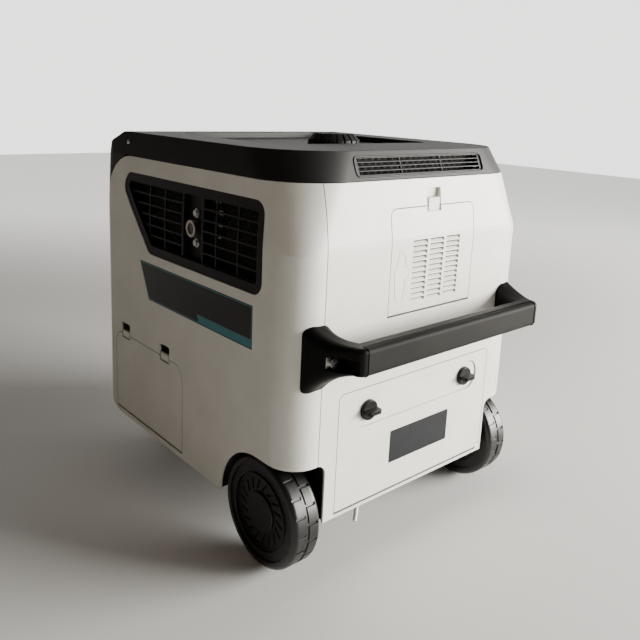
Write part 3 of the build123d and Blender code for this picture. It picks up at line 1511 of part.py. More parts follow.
# Engine: block on rubber mounts, finned cylinder, head and spark plug
block_ys = (REAR + BLOCK_REAR, REAR + BLOCK_FRONT)
crank_y, crank_z = CRANK_AT
block_body = block((-BLOCK_W / 2, BLOCK_W / 2), block_ys, (BLOCK_FOOT, BLOCK_TOP))
crank_bore = rod((LEFT, *CRANK_AT), (RIGHT, *CRANK_AT), CRANK_R + RUN)
fin_step = CYLINDER_H / (FIN_COUNT + 1)
cylinder = rod((0, crank_y, BLOCK_TOP), (0, crank_y, HEAD_FOOT), CYLINDER_R)
fin_tops = [BLOCK_TOP + fin_step * (i + 1) for i in range(FIN_COUNT)]
fins = [
    rod((0, crank_y, top - FIN_T), (0, crank_y, top), FIN_R)
    for top in fin_tops
]
with BuildPart() as engine_block:
    add(block_body)
    fillet(engine_block.edges().filter_by(Axis.X), BLOCK_R)
    for piece in (cylinder, *fins):
        add(piece)
    add(crank_bore, mode=Mode.SUBTRACT)
save(engine_block.part, "engine_block")

head_box = block(
    (-HEAD_HALF, HEAD_HALF), (crank_y - HEAD_HALF, crank_y + HEAD_HALF), (HEAD_FOOT, HEAD_FOOT + HEAD_H)
)
valve_box = block(
    (-VALVE_HALF, VALVE_HALF),
    (crank_y - VALVE_HALF, crank_y + VALVE_HALF),
    (HEAD_FOOT + HEAD_H, HEAD_FOOT + HEAD_H + VALVE_H),
    BLOCK_R,
)
with BuildPart() as cylinder_head:
    add(head_box)
    add(valve_box)
save(cylinder_head.part, "cylinder_head")

plug_z = HEAD_FOOT + PLUG_RISE
plug_face = crank_y - HEAD_HALF
plug_pieces = [
    rod((0, plug_face, plug_z), (0, plug_face - PLUG_LEN / 4, plug_z), PLUG_R + SHEET_T),
    rod((0, plug_face - PLUG_LEN / 4, plug_z), (0, plug_face - PLUG_LEN, plug_z), PLUG_R),
]
with BuildPart() as spark_plug:
    for piece in plug_pieces:
        add(piece)
save(spark_plug.part, "spark_plug")

mount_xs = BLOCK_W / 2 - MOUNT_R
mount_ys = (block_ys[0] + MOUNT_R, block_ys[1] - MOUNT_R)
mount_pieces = [
    rod((x, y, PAN_TOP), (x, y, BLOCK_FOOT), MOUNT_R) for x in (-mount_xs, mount_xs) for y in mount_ys
]
with BuildPart() as engine_mounts:
    for piece in mount_pieces:
        add(piece)
save(engine_mounts.part, "engine_mounts")

# Crankshaft with the alternator's rotor and the fan on its right end
stator_start = BLOCK_W / 2
stator_end = stator_start + STATOR_LEN
plate_from = stator_end + ROTOR_CLEAR
fan_start = plate_from + ROTOR_PLATE
shaft_end = fan_start + FAN_LEN
rotor_r = STATOR_R + AIR_GAP + ROTOR_T
crank_main = rod((-BLOCK_W / 2 - CRANK_TAIL, *CRANK_AT), (BLOCK_W / 2, *CRANK_AT), CRANK_R)
crank_end = rod((BLOCK_W / 2, *CRANK_AT), (shaft_end, *CRANK_AT), CRANK_END_R)
with BuildPart() as crankshaft:
    add(crank_main)
    add(crank_end)
save(crankshaft.part, "crankshaft")

stator_core = rod((stator_start + STATOR_NECK, *CRANK_AT), (stator_end, *CRANK_AT), STATOR_R, STATOR_BORE)
stator_neck = rod(
    (stator_start, *CRANK_AT),
    (stator_start + STATOR_NECK, *CRANK_AT),
    STATOR_NECK_R,
    STATOR_BORE,
)
with BuildPart() as stator:
    add(stator_core)
    add(stator_neck)
save(stator.part, "stator")

rotor_ring = rod(
    (stator_start + STATOR_NECK, *CRANK_AT),
    (fan_start, *CRANK_AT),
    rotor_r,
    STATOR_R + AIR_GAP,
)
rotor_plate = rod((plate_from, *CRANK_AT), (fan_start, *CRANK_AT), rotor_r, CRANK_END_R + FIT / 10)
with BuildPart() as flywheel_rotor:
    add(rotor_ring)
    add(rotor_plate)
save(flywheel_rotor.part, "flywheel_rotor")

fan_place = Plane(origin=(fan_start + FAN_PLATE, *CRANK_AT), x_dir=(0, 1, 0), z_dir=(1, 0, 0))
fan_plate = rod((fan_start, *CRANK_AT), (fan_start + FAN_PLATE, *CRANK_AT), FAN_R)
fan_hub = rod((fan_start, *CRANK_AT), (shaft_end, *CRANK_AT), FAN_HUB_R)
fan_bore = rod((fan_start, *CRANK_AT), (shaft_end, *CRANK_AT), CRANK_END_R + FIT / 10)
blade_ends = (FAN_HUB_R - BLADE_T, FAN_R - BLADE_T)
with BuildPart(fan_place) as blades:
    with PolarLocations((blade_ends[0] + blade_ends[1]) / 2, BLADE_COUNT):
        Box(
            blade_ends[1] - blade_ends[0],
            BLADE_T,
            FAN_LEN - FAN_PLATE,
            align=(Align.CENTER, Align.CENTER, Align.MIN),
        )
with BuildPart() as cooling_fan:
    add(fan_plate)
    add(fan_hub)
    add(blades.part)
    add(fan_bore, mode=Mode.SUBTRACT)
save(cooling_fan.part, "cooling_fan")

starter_y = block_ys[1] + STARTER_FOOT + STARTER_R
starter_z = BLOCK_FOOT + STARTER_RISE
starter_body = rod(
    (-STARTER_LEN / 2, starter_y, starter_z),
    (STARTER_LEN / 2, starter_y, starter_z),
    STARTER_R,
)
starter_foot = block(
    (-STARTER_LEN / 4, STARTER_LEN / 4),
    (block_ys[1], starter_y),
    (starter_z - STARTER_R / 2, starter_z + STARTER_R / 2),
)
with BuildPart() as starter_motor:
    add(starter_body)
    add(starter_foot)
save(starter_motor.part, "starter_motor")

# Intake: filter box behind its cover, foam element, duct and carburettor
box_xs = (FILTER_X - BOX_W / 2, FILTER_X + BOX_W / 2)
box_ys = (REAR + BOX_SET, REAR + BOX_SET + BOX_DEPTH)
box_zs = (CHANNEL_TOP, CHANNEL_TOP + BOX_H)
box_outer = block(box_xs, box_ys, box_zs)
box_inner = block(
    (box_xs[0] + BOX_T, box_xs[1] - BOX_T),
    (box_ys[0] - REACH, box_ys[1] - BOX_T),
    (box_zs[0] + BOX_T, box_zs[1] - BOX_T),
)
boss_ys = (box_ys[0], box_ys[0] + BOSS_LEN)
boss_zs = (BAND_MID_Z - BOSS_R, box_zs[1] - BOX_T)
boss_pieces = [block((x - BOSS_R, x + BOSS_R), boss_ys, boss_zs) for x in KNOB_XS]
boss_bores = [
    rod((x, REAR, BAND_MID_Z), (x, box_ys[1] - BOX_T, BAND_MID_Z), STUD_R + STUD_GAP) for x in KNOB_XS
]
duct_x = HEAD_HALF + CARB_W / 2
duct_y = REAR + DUCT_SET_Y
carb_ys = (crank_y - CARB_L / 2, crank_y + CARB_L / 2)
duct_hole = rod((duct_x, duct_y, box_zs[1] - BOX_T), (duct_x, duct_y, box_zs[1]), DUCT_R - BOX_T)
with BuildPart() as air_filter_box:
    add(box_outer)
    add(box_inner, mode=Mode.SUBTRACT)
    for piece in boss_pieces:
        add(piece)
    for cut in (*boss_bores, duct_hole):
        add(cut, mode=Mode.SUBTRACT)
save(air_filter_box.part, "air_filter_box")

element_ys = (box_ys[0] + ELEMENT_SET, box_ys[0] + ELEMENT_SET + ELEMENT_DEPTH)
element = block(
    (box_xs[0] + BOX_T + FIT, box_xs[1] - BOX_T - FIT),
    element_ys,
    (box_zs[0] + BOX_T + FIT, box_zs[1] - ELEMENT_DROP),
)
with BuildPart() as air_filter_element:
    add(element)
save(air_filter_element.part, "air_filter_element")

duct_up = rod((duct_x, duct_y, box_zs[1]), (duct_x, duct_y, DUCT_Z), DUCT_R)
duct_along = rod((duct_x, duct_y, DUCT_Z), (duct_x, carb_ys[0], DUCT_Z), DUCT_R)
with BuildPart() as intake_duct:
    add(duct_up)
    add(duct_along)
    with Locations((duct_x, duct_y, DUCT_Z)):
        Sphere(DUCT_R)
save(intake_duct.part, "intake_duct")

carb_box = block((HEAD_HALF, HEAD_HALF + CARB_W), carb_ys, (HEAD_FOOT, HEAD_FOOT + CARB_H), BOX_T)
with BuildPart() as carburettor:
    add(carb_box)
save(carburettor.part, "carburettor")

# Electrics on the base pan
inverter_xs = (LEFT + INVERTER_LEFT, RIGHT - INVERTER_RIGHT)
inverter_ys = (REAR + INVERTER_REAR, REAR + INVERTER_FRONT)
inverter_box = block(inverter_xs, inverter_ys, (PAN_TOP, PAN_TOP + INVERTER_H))
fin_pitch = (inverter_xs[1] - inverter_xs[0]) / INVERTER_FINS
with BuildPart() as fin_slots:
    with BuildSketch(Plane.XZ.offset(-(REAR + INVERTER_FRONT))):
        with Locations(((inverter_xs[0] + inverter_xs[1]) / 2, PAN_TOP + INVERTER_H / 2)):
            with GridLocations(fin_pitch, 1, INVERTER_FINS, 1):
                Rectangle(fin_pitch - FIN_T, INVERTER_H + REACH)
    extrude(amount=INVERTER_FIN_DEPTH)
with BuildPart() as inverter_module:
    add(inverter_box)
    add(fin_slots.part, mode=Mode.SUBTRACT)
save(inverter_module.part, "inverter_module")

battery_xs = (LEFT + BATTERY_SET, LEFT + BATTERY_SET + BATTERY_W)
battery_ys = (REAR + BATTERY_REAR, REAR + BATTERY_REAR + BATTERY_L)
battery_top = PAN_TOP + BATTERY_H
battery_box = block(battery_xs, battery_ys, (PAN_TOP, battery_top), SHEET_T)
terminal_x = (battery_xs[0] + battery_xs[1]) / 2
terminals = [
    rod((terminal_x, y, battery_top), (terminal_x, y, battery_top + TERMINAL_H), TERMINAL_R)
    for y in (battery_ys[0] + 3 * TERMINAL_R, battery_ys[1] - 3 * TERMINAL_R)
]
with BuildPart() as battery:
    add(battery_box)
    for piece in terminals:
        add(piece)
save(battery.part, "battery")


# Controls in the pocket of the control panel
def panel_box(at, width, height, back, proud):
    """A block through the panel: from back behind its face to proud of it."""
    x, y, z = panel_point(at)
    return block((x - width / 2, x + width / 2), (y - back, y + proud), (z - height / 2, z + height / 2))


def panel_rod(at, radius, back, proud):
    x, y, z = panel_point(at)
    return rod((x, y - back, z), (x, y + proud, z), radius)


display_glass = panel_box(DISPLAY_AT, DISPLAY_W + 2 * FLANGE, DISPLAY_H + 2 * FLANGE, 0.0, FLANGE_T)
display_body = panel_box(DISPLAY_AT, DISPLAY_W, DISPLAY_H, CONTROL_DEPTH / 2, 0.0)
with BuildPart() as display_window:
    add(display_glass)
    add(display_body)
save(display_window.part, "display_window")

rocker_body = panel_box(ROCKER_AT, ROCKER_W, ROCKER_H, 2 * WALL, WALL)
rocker_x, rocker_y, rocker_z = panel_point(ROCKER_AT)
rocker_end = ROCKER_W / 2 + FIT
rocker_pivot = rod(
    (rocker_x - rocker_end, rocker_y - WALL / 2, rocker_z),
    (rocker_x + rocker_end, rocker_y - WALL / 2, rocker_z),
    PIN_R,
)
with BuildPart() as eco_rocker:
    add(rocker_body)
    fillet(eco_rocker.edges().filter_by(Axis.X), WALL / 2)
    add(rocker_pivot)
save(eco_rocker.part, "eco_rocker")


def push_button(at, radius):
    """A button in its hole, with a collar behind the panel that keeps it in."""
    stem = panel_rod(at, radius, WALL + 2 * FLANGE, BUTTON_PROUD)
    x, y, z = panel_point(at)
    collar = rod((x, y - WALL - 2 * FLANGE, z), (x, y - WALL - FIT, z), radius + FLANGE)
    with BuildPart() as button:
        add(stem)
        fillet(button.edges().sort_by(Axis.Y)[-1], FLANGE_T)
        add(collar)
    return button.part


start_piece = push_button(START_AT, START_R)
with BuildPart() as start_button:
    add(start_piece)
save(start_button.part, "start_button")

breaker_piece = push_button(BREAKER_AT, BREAKER_R)
with BuildPart() as breaker_button:
    add(breaker_piece)
save(breaker_button.part, "breaker_button")

dial_x, dial_y, dial_z = panel_point(DIAL_AT)
dial_disc = rod((dial_x, dial_y + KNOB_GAP, dial_z), (dial_x, dial_y + DIAL_T / 2, dial_z), DIAL_R)
dial_grip = block(
    (dial_x - WALL, dial_x + WALL),
    (dial_y + DIAL_T / 2, dial_y + DIAL_T),
    (dial_z - DIAL_R + WALL, dial_z + DIAL_R - FIT),
)
dial_shaft = panel_rod(DIAL_AT, DIAL_SHAFT_R, CONTROL_DEPTH / 2, DIAL_T / 2)
with BuildPart() as engine_dial:
    add(dial_disc)
    add(dial_grip)
    add(dial_shaft)
save(engine_dial.part, "engine_dial")


def ac_socket(at):
    """A round socket with three pin slots."""
    x, y, z = panel_point(at)
    flange = panel_rod(at, SOCKET_R + FLANGE, 0.0, FLANGE_T)
    body = panel_rod(at, SOCKET_R, CONTROL_DEPTH, FLANGE_T)
    with BuildPart() as socket:
        add(flange)
        add(body)
        with BuildSketch(Plane.XZ.offset(-(y + FLANGE_T))):
            slot_z = z + SOCKET_SLOT / 2
            with Locations((x - SOCKET_SLOT, slot_z), (x + SOCKET_SLOT, slot_z)):
                Rectangle(SOCKET_SLOT / 3, SOCKET_SLOT)
            with Locations((x, z - SOCKET_SLOT)):
                Circle(SOCKET_SLOT / 3)
        extrude(amount=CONTROL_DEPTH / 2, mode=Mode.SUBTRACT)
    return socket.part


socket_pieces = [ac_socket(at) for at in OUTLETS_AT]
dc_pieces = [
    panel_rod(DC_AT, DC_R + FLANGE, 0.0, FLANGE_T),
    panel_rod(DC_AT, DC_R, CONTROL_DEPTH, FLANGE_T),
]
dc_bore = panel_rod(DC_AT, DC_R - FLANGE, 0.0, FLANGE_T)
with BuildPart() as dc_outlet:
    for piece in dc_pieces:
        add(piece)
    add(dc_bore, mode=Mode.SUBTRACT)

with BuildPart() as power_sockets:
    for piece in (*socket_pieces, dc_outlet.part):
        add(piece)
save(power_sockets.part, "power_sockets")

ground_pieces = [
    panel_rod(GROUND_AT, GROUND_R, CONTROL_DEPTH / 2, BUTTON_PROUD + WALL),
    panel_rod(GROUND_AT, GROUND_NUT_R, 0.0, BUTTON_PROUD),
]
with BuildPart() as ground_terminal:
    for piece in ground_pieces:
        add(piece)
save(ground_terminal.part, "ground_terminal")

# Drain nipple under the base pan and the clear hose on it
hose_points = [Vector(LEFT + x, REAR + y, z) for x, y, z in HOSE_ROUTE]
hose_runs = [b - a for a, b in zip(hose_points, hose_points[1:])]
hose_radii = []
for before, after in zip(hose_runs, hose_runs[1:]):
    shorter = min(before.length, after.length)
    unit = (before.normalized() + after.normalized()).length / 2
    hose_radii.append(BEND_SHARE * shorter * unit / sqrt(1 - unit**2))
with BuildPart() as drain_hose:
    with BuildLine() as route:
        FilletPolyline(*hose_points, radius=hose_radii)
    with BuildSketch(Plane(origin=hose_points[0], z_dir=hose_runs[0])):
        Circle(HOSE_R)
    sweep()
save(drain_hose.part, "drain_hose")

nipple_back = hose_points[0] - hose_runs[0].normalized() * NIPPLE_LEN
nipple_barb = rod(tuple(hose_points[0]), tuple(nipple_back), NIPPLE_R)
nipple_post = rod(
    (nipple_back.X, nipple_back.Y, nipple_back.Z - NIPPLE_R),
    (nipple_back.X, nipple_back.Y, BASE_Z),
    NIPPLE_POST_R,
)
with BuildPart() as drain_nipple:
    add(nipple_barb)
    add(nipple_post)
save(drain_nipple.part, "drain_nipple")
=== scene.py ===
# %% [markdown]
# # A portable inverter generator, dressed in Blender
# The solids come from CAD, in metres, with +Z up and the carry handle at -Y. This lesson gives each
# one the finish of its real material, and adds the thin details that CAD leaves out.

# %% Load the frame
import math
import bmesh
import bpy
from mathutils import Matrix, Vector


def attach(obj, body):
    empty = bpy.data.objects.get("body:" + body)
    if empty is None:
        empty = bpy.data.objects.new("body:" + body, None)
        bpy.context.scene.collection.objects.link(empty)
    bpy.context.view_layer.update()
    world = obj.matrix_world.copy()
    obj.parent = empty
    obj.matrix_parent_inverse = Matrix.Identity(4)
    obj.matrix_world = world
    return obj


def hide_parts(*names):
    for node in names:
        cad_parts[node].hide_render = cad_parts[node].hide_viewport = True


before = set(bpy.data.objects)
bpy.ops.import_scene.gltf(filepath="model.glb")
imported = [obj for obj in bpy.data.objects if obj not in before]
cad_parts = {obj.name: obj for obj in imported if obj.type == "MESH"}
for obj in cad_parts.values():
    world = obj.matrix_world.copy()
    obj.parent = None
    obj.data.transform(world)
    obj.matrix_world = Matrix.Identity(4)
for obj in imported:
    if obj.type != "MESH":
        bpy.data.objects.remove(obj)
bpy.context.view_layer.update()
MM = 0.001
LEFT, RIGHT = -229.0, 229.0
REAR, FRONT = -223.75, 291.25


def place(x, y, z):
    """A point in millimetres from the left rear corner of the floor, in the frame's metres."""
    return Vector((LEFT + x, REAR + y, z)) * MM


# %% [markdown]
# The photograph was taken close by, from the left rear corner, so the perspective is strong. The
# camera was fitted to the straight edges of the housing and to both wheels. A fitted camera is better
# than one placed by eye.

# %% Camera
CAMERA_AT = place(-496.74, -588.90, 607.48)
YAW, PITCH, ROLL = 0.7104, 0.2151, 0.0397
FOCAL_PX, FRAME_PX = 698.98, 640.0
AXIS_PX = (303.45, 252.66)
SENSOR = 36.0
NEAREST = 0.05

ahead = Vector((math.sin(YAW) * math.cos(PITCH), math.cos(YAW) * math.cos(PITCH), -math.sin(PITCH)))
level = Vector((math.cos(YAW), -math.sin(YAW), 0.0))
upright = level.cross(ahead)
across = math.cos(ROLL) * level + math.sin(ROLL) * upright
upward = -math.sin(ROLL) * level + math.cos(ROLL) * upright

lens = bpy.data.cameras.new("photo_camera")
lens.sensor_width = SENSOR
lens.lens = FOCAL_PX / FRAME_PX * SENSOR
lens.shift_x = 0.5 - AXIS_PX[0] / FRAME_PX
lens.shift_y = AXIS_PX[1] / FRAME_PX - 0.5
lens.clip_start = NEAREST
camera = bpy.data.objects.new("photo_camera", lens)
camera.matrix_world = Matrix((
    (across.x, upward.x, -ahead.x, CAMERA_AT.x),
    (across.y, upward.y, -ahead.y, CAMERA_AT.y),
    (across.z, upward.z, -ahead.z, CAMERA_AT.z),
    (0.0, 0.0, 0.0, 1.0),
))
bpy.context.scene.collection.objects.link(camera)
bpy.context.scene.camera = camera
print("lens:", round(lens.lens, 2), "mm")

# %% [markdown]
# The drain hose is a short piece of milky PVC tube on a nipple under the rear edge. It runs out and
# down, and ends in a plain cut. A NURBS line with the route's corners as control points gives the
# soft bend of a real tube. Its size is set at the points, because the radius of a NURBS point also
# counts in the curve's bounding box: the usual radius of 1 would make that box larger by a metre.

# %% Drain hose
HOSE_ROUTE = ((156.0, 33.0, 66.0), (149.0, 24.5, 63.5), (137.6, 14.8, 55.6), (127.5, 7.0, 46.0))
HOSE_R = 3.0

hose_line = bpy.data.curves.new("drain_tube", "CURVE")
hose_line.dimensions = "3D"
hose_line.bevel_depth = 1.0  # each point's own radius sets the size
hose_line.bevel_resolution = 6
hose_line.use_fill_caps = True
spline = hose_line.splines.new("NURBS")
spline.points.add(len(HOSE_ROUTE) - 1)
for point, at in zip(spline.points, HOSE_ROUTE):
    point.co = (*place(*at), 1.0)
    point.radius = HOSE_R * MM
spline.order_u = 3
spline.use_endpoint_u = True
spline.resolution_u = 12
hose = bpy.data.objects.new("drain_tube", hose_line)
bpy.context.scene.collection.objects.link(hose)
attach(hose, "housing")
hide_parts("drain_hose")
print("hose points:", len(HOSE_ROUTE))

# %% [markdown]
# Every finish below is built from nodes. One function turns the hex colours of a paint card into
# the linear light that shaders need, and one adds a node with its settings and links. Pattern sizes
# are given in millimetres: a noise of scale 1 repeats about once a metre, so 1 mm is a scale of 1000.


# %% Colours, sizes and nodes
def linear(hex_colour):
    """An sRGB hex colour as linear RGBA."""
    channels = [int(hex_colour[i:i + 2], 16) / 255 for i in (1, 3, 5)]
    return (*[c / 12.92 if c <= 0.04045 else ((c + 0.055) / 1.055) ** 2.4 for c in channels], 1.0)


def per_mm(size):
    """The scale of a noise that repeats about once in this many millimetres."""
    return 1.0 / (size * MM)


def add_node(tree, kind, inputs=None, **settings):
    """A new node with its settings, its values and its links."""
    made = tree.nodes.new(kind)
    for name, value in settings.items():
        setattr(made, name, value)
    for socket, value in (inputs or {}).items():
        if isinstance(value, bpy.types.NodeSocket):
            tree.links.new(value, made.inputs[socket])
        else:
            made.inputs[socket].default_value = value
    return made


def new_finish(name, roughness, metallic=0.0, ior=1.5):
    """An empty material, its tree and its shader."""
    material = bpy.data.materials.new(name)
    material.use_nodes = True
    tree = material.node_tree
    shader = tree.nodes["Principled BSDF"]
    shader.inputs["Roughness"].default_value = roughness
    shader.inputs["Metallic"].default_value = metallic
    if not metallic:
        shader.inputs["IOR"].default_value = ior
    return material, tree, shader


print("a pattern of 1 mm has a scale of", round(per_mm(1.0)))

# %% [markdown]
# A moulding is never one flat colour. It has two close tones that drift over it, a grain from the
# tool that spreads its shine, and edges that are a little round. Noise gives the first two. The Bevel
# node rounds the edges in the shading alone, which is enough at about a millimetre.

# %% Grained surfaces
TONE_STOPS = (0.35, 0.65)
CLOUD_DETAIL, GRAIN_DETAIL, EDGE_SAMPLES = 3.0, 2.0, 4


def surface(tree, shader, colours, roughness, grain, relief, edge, drift, rough_drift):
    """Two close colours that drift over the part, a grain in its surface, and softened edges.
    Grain, relief, edge and drift are sizes in millimetres."""
    where = add_node(tree, "ShaderNodeTexCoord").outputs["Object"]
    cloud = add_node(tree, "ShaderNodeTexNoise", {
        "Vector": where, "Scale": per_mm(drift), "Detail": CLOUD_DETAIL})
    tone = add_node(tree, "ShaderNodeValToRGB", {"Fac": cloud.outputs["Fac"]})
    for stop, at, colour in zip(tone.color_ramp.elements, TONE_STOPS, colours):
        stop.position = at
        stop.color = linear(colour)
    tree.links.new(tone.outputs["Color"], shader.inputs["Base Color"])
    speck = add_node(tree, "ShaderNodeTexNoise", {
        "Vector": where, "Scale": per_mm(grain), "Detail": GRAIN_DETAIL})
    shine = add_node(tree, "ShaderNodeMapRange", {
        "Value": speck.outputs["Fac"],
        "To Min": roughness - rough_drift, "To Max": roughness + rough_drift})
    tree.links.new(shine.outputs["Result"], shader.inputs["Roughness"])
    soft_edge = add_node(tree, "ShaderNodeBevel", {"Radius": edge * MM}, samples=EDGE_SAMPLES)
    bump = add_node(tree, "ShaderNodeBump", {
        "Height": speck.outputs["Fac"], "Distance": relief * MM, "Strength": 1.0,
        "Normal": soft_edge.outputs["Normal"]})
    tree.links.new(bump.outputs["Normal"], shader.inputs["Normal"])


def moulded(name, colours, roughness, grain, relief, edge=0.5, ior=1.5, drift=60.0,
            rough_drift=0.06):
    """A moulded plastic or rubber."""
    material, tree, shader = new_finish(name, roughness, ior=ior)
    surface(tree, shader, colours, roughness, grain, relief, edge, drift, rough_drift)
    return material


print("tones change between", *TONE_STOPS, "of the noise")

# %% [markdown]
# Joints and hollows get painted shade: they are made darker than the open surface in the colour itself.
# Ambient occlusion measures how open a spot is. The closed share mixes a shade colour into the unshaded
# one.

# %% Painted shade in the joints
CLOSED_AT, OPEN_AT, SHADE_SAMPLES = 0.25, 0.8, 8


def paint_joint_shade(material, colour, width, most):
    """Paints shade into the joints and hollows of a finish. Width is in millimetres."""
    tree = material.node_tree
    shader = tree.nodes["Principled BSDF"]
    unshaded = shader.inputs["Base Color"].links[0].from_socket
    open_share = add_node(tree, "ShaderNodeAmbientOcclusion", {"Distance": width * MM},
                          samples=SHADE_SAMPLES)
    share = add_node(tree, "ShaderNodeMapRange", {
        "Value": open_share.outputs["AO"], "From Min": CLOSED_AT, "From Max": OPEN_AT,
        "To Min": most, "To Max": 0.0})
    tone = add_node(tree, "ShaderNodeMix", {
        "Factor": share.outputs["Result"], "A": unshaded, "B": linear(colour)}, data_type="RGBA")
    tree.links.new(tone.outputs["Result"], shader.inputs["Base Color"])


# The printed share is where painted shade starts: a spot less open than this is darkened.
print("dust lies where less than", OPEN_AT, "of the view is open")

# %% [markdown]
# A bare metal takes its looks from what it reflects, so it gets the same drift and grain with its
# metallic value at 1. A last helper puts a finish on CAD nodes, in place of what they came with.

# %% Bare metal and dressing
METAL_RELIEF, METAL_EDGE, METAL_DRIFT, METAL_ROUGH_DRIFT = 0.01, 0.4, 9.0, 0.1


def metal(name, colours, roughness, scratch):
    """A bare metal, with fine marks of the given size."""
    material, tree, shader = new_finish(name, roughness, metallic=1.0)
    surface(tree, shader, colours, roughness, scratch, METAL_RELIEF, METAL_EDGE, METAL_DRIFT,
            METAL_ROUGH_DRIFT)
    return material


def dress(material, *nodes):
    """Gives CAD nodes a finish."""
    for name in nodes:
        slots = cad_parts[name].data.materials
        slots.clear()
        slots.append(material)


print("marks on metal are", METAL_RELIEF, "mm deep")

# %% [markdown]
# The pale covers are injection moulded ABS in a warm white. The mould was spark eroded, which leaves
# a fine even grain of about 0.2 mm. That is too fine to show here, so it is drawn at 0.9 mm and kept
# shallow: it breaks up the highlights without looking like orange peel.

# %% Pale covers
shell_abs = moulded("moulded white ABS", ("#e0dfd7", "#e7e6df"), roughness=0.42, grain=0.9,
                    relief=0.02, edge=1.0, ior=1.53)
# Painted shade: the joints and hollows of the covers are darkened towards #3a3834.
paint_joint_shade(shell_abs, "#3a3834", width=3.0, most=0.9)
dress(shell_abs, "left_side_cover", "right_side_cover", "rear_panel", "front_panel",
      "spark_plug_door", "filter_cover", "service_hatch")
print("white ABS on the covers")

# %% [markdown]
# The top cover, the control panel and the grilles are black polypropylene. It is coloured through, so
# it shows no paint edge, and its grain gives a broad grey sheen towards the light. The handle is nylon
# with glass fibre, moulded in a smoother tool, so it is deeper black. These plastics have an IOR of
# about 1.5. Here some are set lower, because in the photograph they show less sheen than that gives.

# %% Black mouldings
black_pp = moulded("grained black polypropylene", ("#0f0f0f", "#131312"), roughness=0.52, grain=0.8,
                   relief=0.05, edge=1.2, ior=1.46)
dress(black_pp, "top_cover", "control_panel", "top_vent_grille", "fuel_cap", "air_filter_box",
      "battery")
grille_pp = moulded("satin black polypropylene", ("#050506", "#09090a"), roughness=0.48, grain=0.8,
                    relief=0.02, edge=0.6, ior=1.42)
dress(grille_pp, "exhaust_grille", "intake_grille", "wheel_housings")
handle_nylon = moulded("glass-filled black nylon", ("#050506", "#080809"), roughness=0.5, grain=0.7,
                       relief=0.03, edge=1.0, ior=1.22)
dress(handle_nylon, "carry_handle")
knob_abs = moulded("dark grey ABS", ("#080808", "#0d0d0d"), roughness=0.36, grain=0.6,
                   relief=0.015, edge=0.7, ior=1.28)
dress(knob_abs, "filter_knob_left", "filter_knob_right", "engine_dial", "eco_rocker",
      "breaker_button", "power_sockets", "cooling_fan")
print("black mouldings on the top, grilles, handle and knobs")

# %% [markdown]
# The insert in the grip is a thermoplastic rubber: browner than the handle, and dull, with a low IOR
# for the same reason. The tyres are solid rubber with a mould shine, the rims a black nylon.

# %% Rubbers
grip_tpe = moulded("matt grip rubber", ("#171614", "#1d1c1a"), roughness=0.62, grain=0.7,
                   relief=0.04, edge=1.2, ior=1.2)
dress(grip_tpe, "handle_grip")
tyre_rubber = moulded("solid tyre rubber", ("#070708", "#0d0d0e"), roughness=0.38, grain=1.2,
                      relief=0.04, edge=0.9, ior=1.55)
dress(tyre_rubber, "left_tyre", "right_tyre")
rim_nylon = moulded("satin black nylon", ("#040405", "#080809"), roughness=0.46, grain=0.8,
                    relief=0.02, edge=0.6, ior=1.53)
dress(rim_nylon, "left_rim", "right_rim", "left_hub_cap", "right_hub_cap")
mount_rubber = moulded("soft black rubber", ("#141414", "#1a1a19"), roughness=0.75, grain=1.0,
                       relief=0.05, edge=1.0)
dress(mount_rubber, "rubber_feet", "engine_mounts", "intake_duct")
print("rubbers on the grip, wheels and feet")

# %% [markdown]
# Fasteners are zinc plated steel: a grey mirror with a faint drift of roughness. The exhaust parts are
# stainless steel that heat has turned a little brown, and the engine is sand cast aluminium.

# %% Metals
zinc_steel = metal("zinc plated steel", ("#c6c7c4", "#dcddda"), roughness=0.26, scratch=0.8)
dress(zinc_steel, "handle_bolts", "exhaust_screws", "hinge_pins", "axle", "ground_terminal",
      "crankshaft", "drain_nipple", "spark_plug")
exhaust_steel = metal("heat tinted stainless steel", ("#b3aaa0", "#cbc4bb"), roughness=0.3,
                      scratch=1.0)
dress(exhaust_steel, "exhaust_outlet", "muffler")
cast_aluminium = metal("sand cast aluminium", ("#9a9b9b", "#b3b4b3"), roughness=0.5, scratch=1.5)
dress(cast_aluminium, "engine_block", "cylinder_head", "carburettor", "inverter_module")
core_steel = metal("varnished core steel", ("#3b3530", "#4b443d"), roughness=0.45, scratch=1.0)
dress(core_steel, "flywheel_rotor", "stator")
print("metals on the fasteners, exhaust and engine")

# %% [markdown]
# Sheet steel gets a black powder coat, which has a slight orange peel, and the tank is blow moulded.

# %% Painted sheet and tank
pan_paint = moulded("black powder coat", ("#141414", "#191919"), roughness=0.5, grain=1.1,
                    relief=0.05, edge=0.8)
dress(pan_paint, "base_pan", "axle_saddles", "starter_motor")
tank_hdpe = moulded("blow moulded black polyethylene", ("#161616", "#1c1c1c"), roughness=0.45,
                    grain=2.0, relief=0.05, edge=2.0)
dress(tank_hdpe, "fuel_tank")
print("powder coat on the pan, polyethylene on the tank")

# %% [markdown]
# The plate on the filter cover is plain printed vinyl in dark grey.

# %% Filter plate
label_film = moulded("dark grey vinyl film", ("#17181b", "#1d1e22"), roughness=0.5, grain=1.4,
                     relief=0.006, edge=0.2, ior=1.3, drift=25.0)
dress(label_film, "filter_label")
print("vinyl on the filter plate")

# %% [markdown]
# The plate on each side is nearly black with a thin teal line and a teal foot. It could be an image,
# but straight lines need none. Each edge gives a distance, which grows inwards. The front edge leans,
# so it is measured along a value that is the same all the way up that edge.

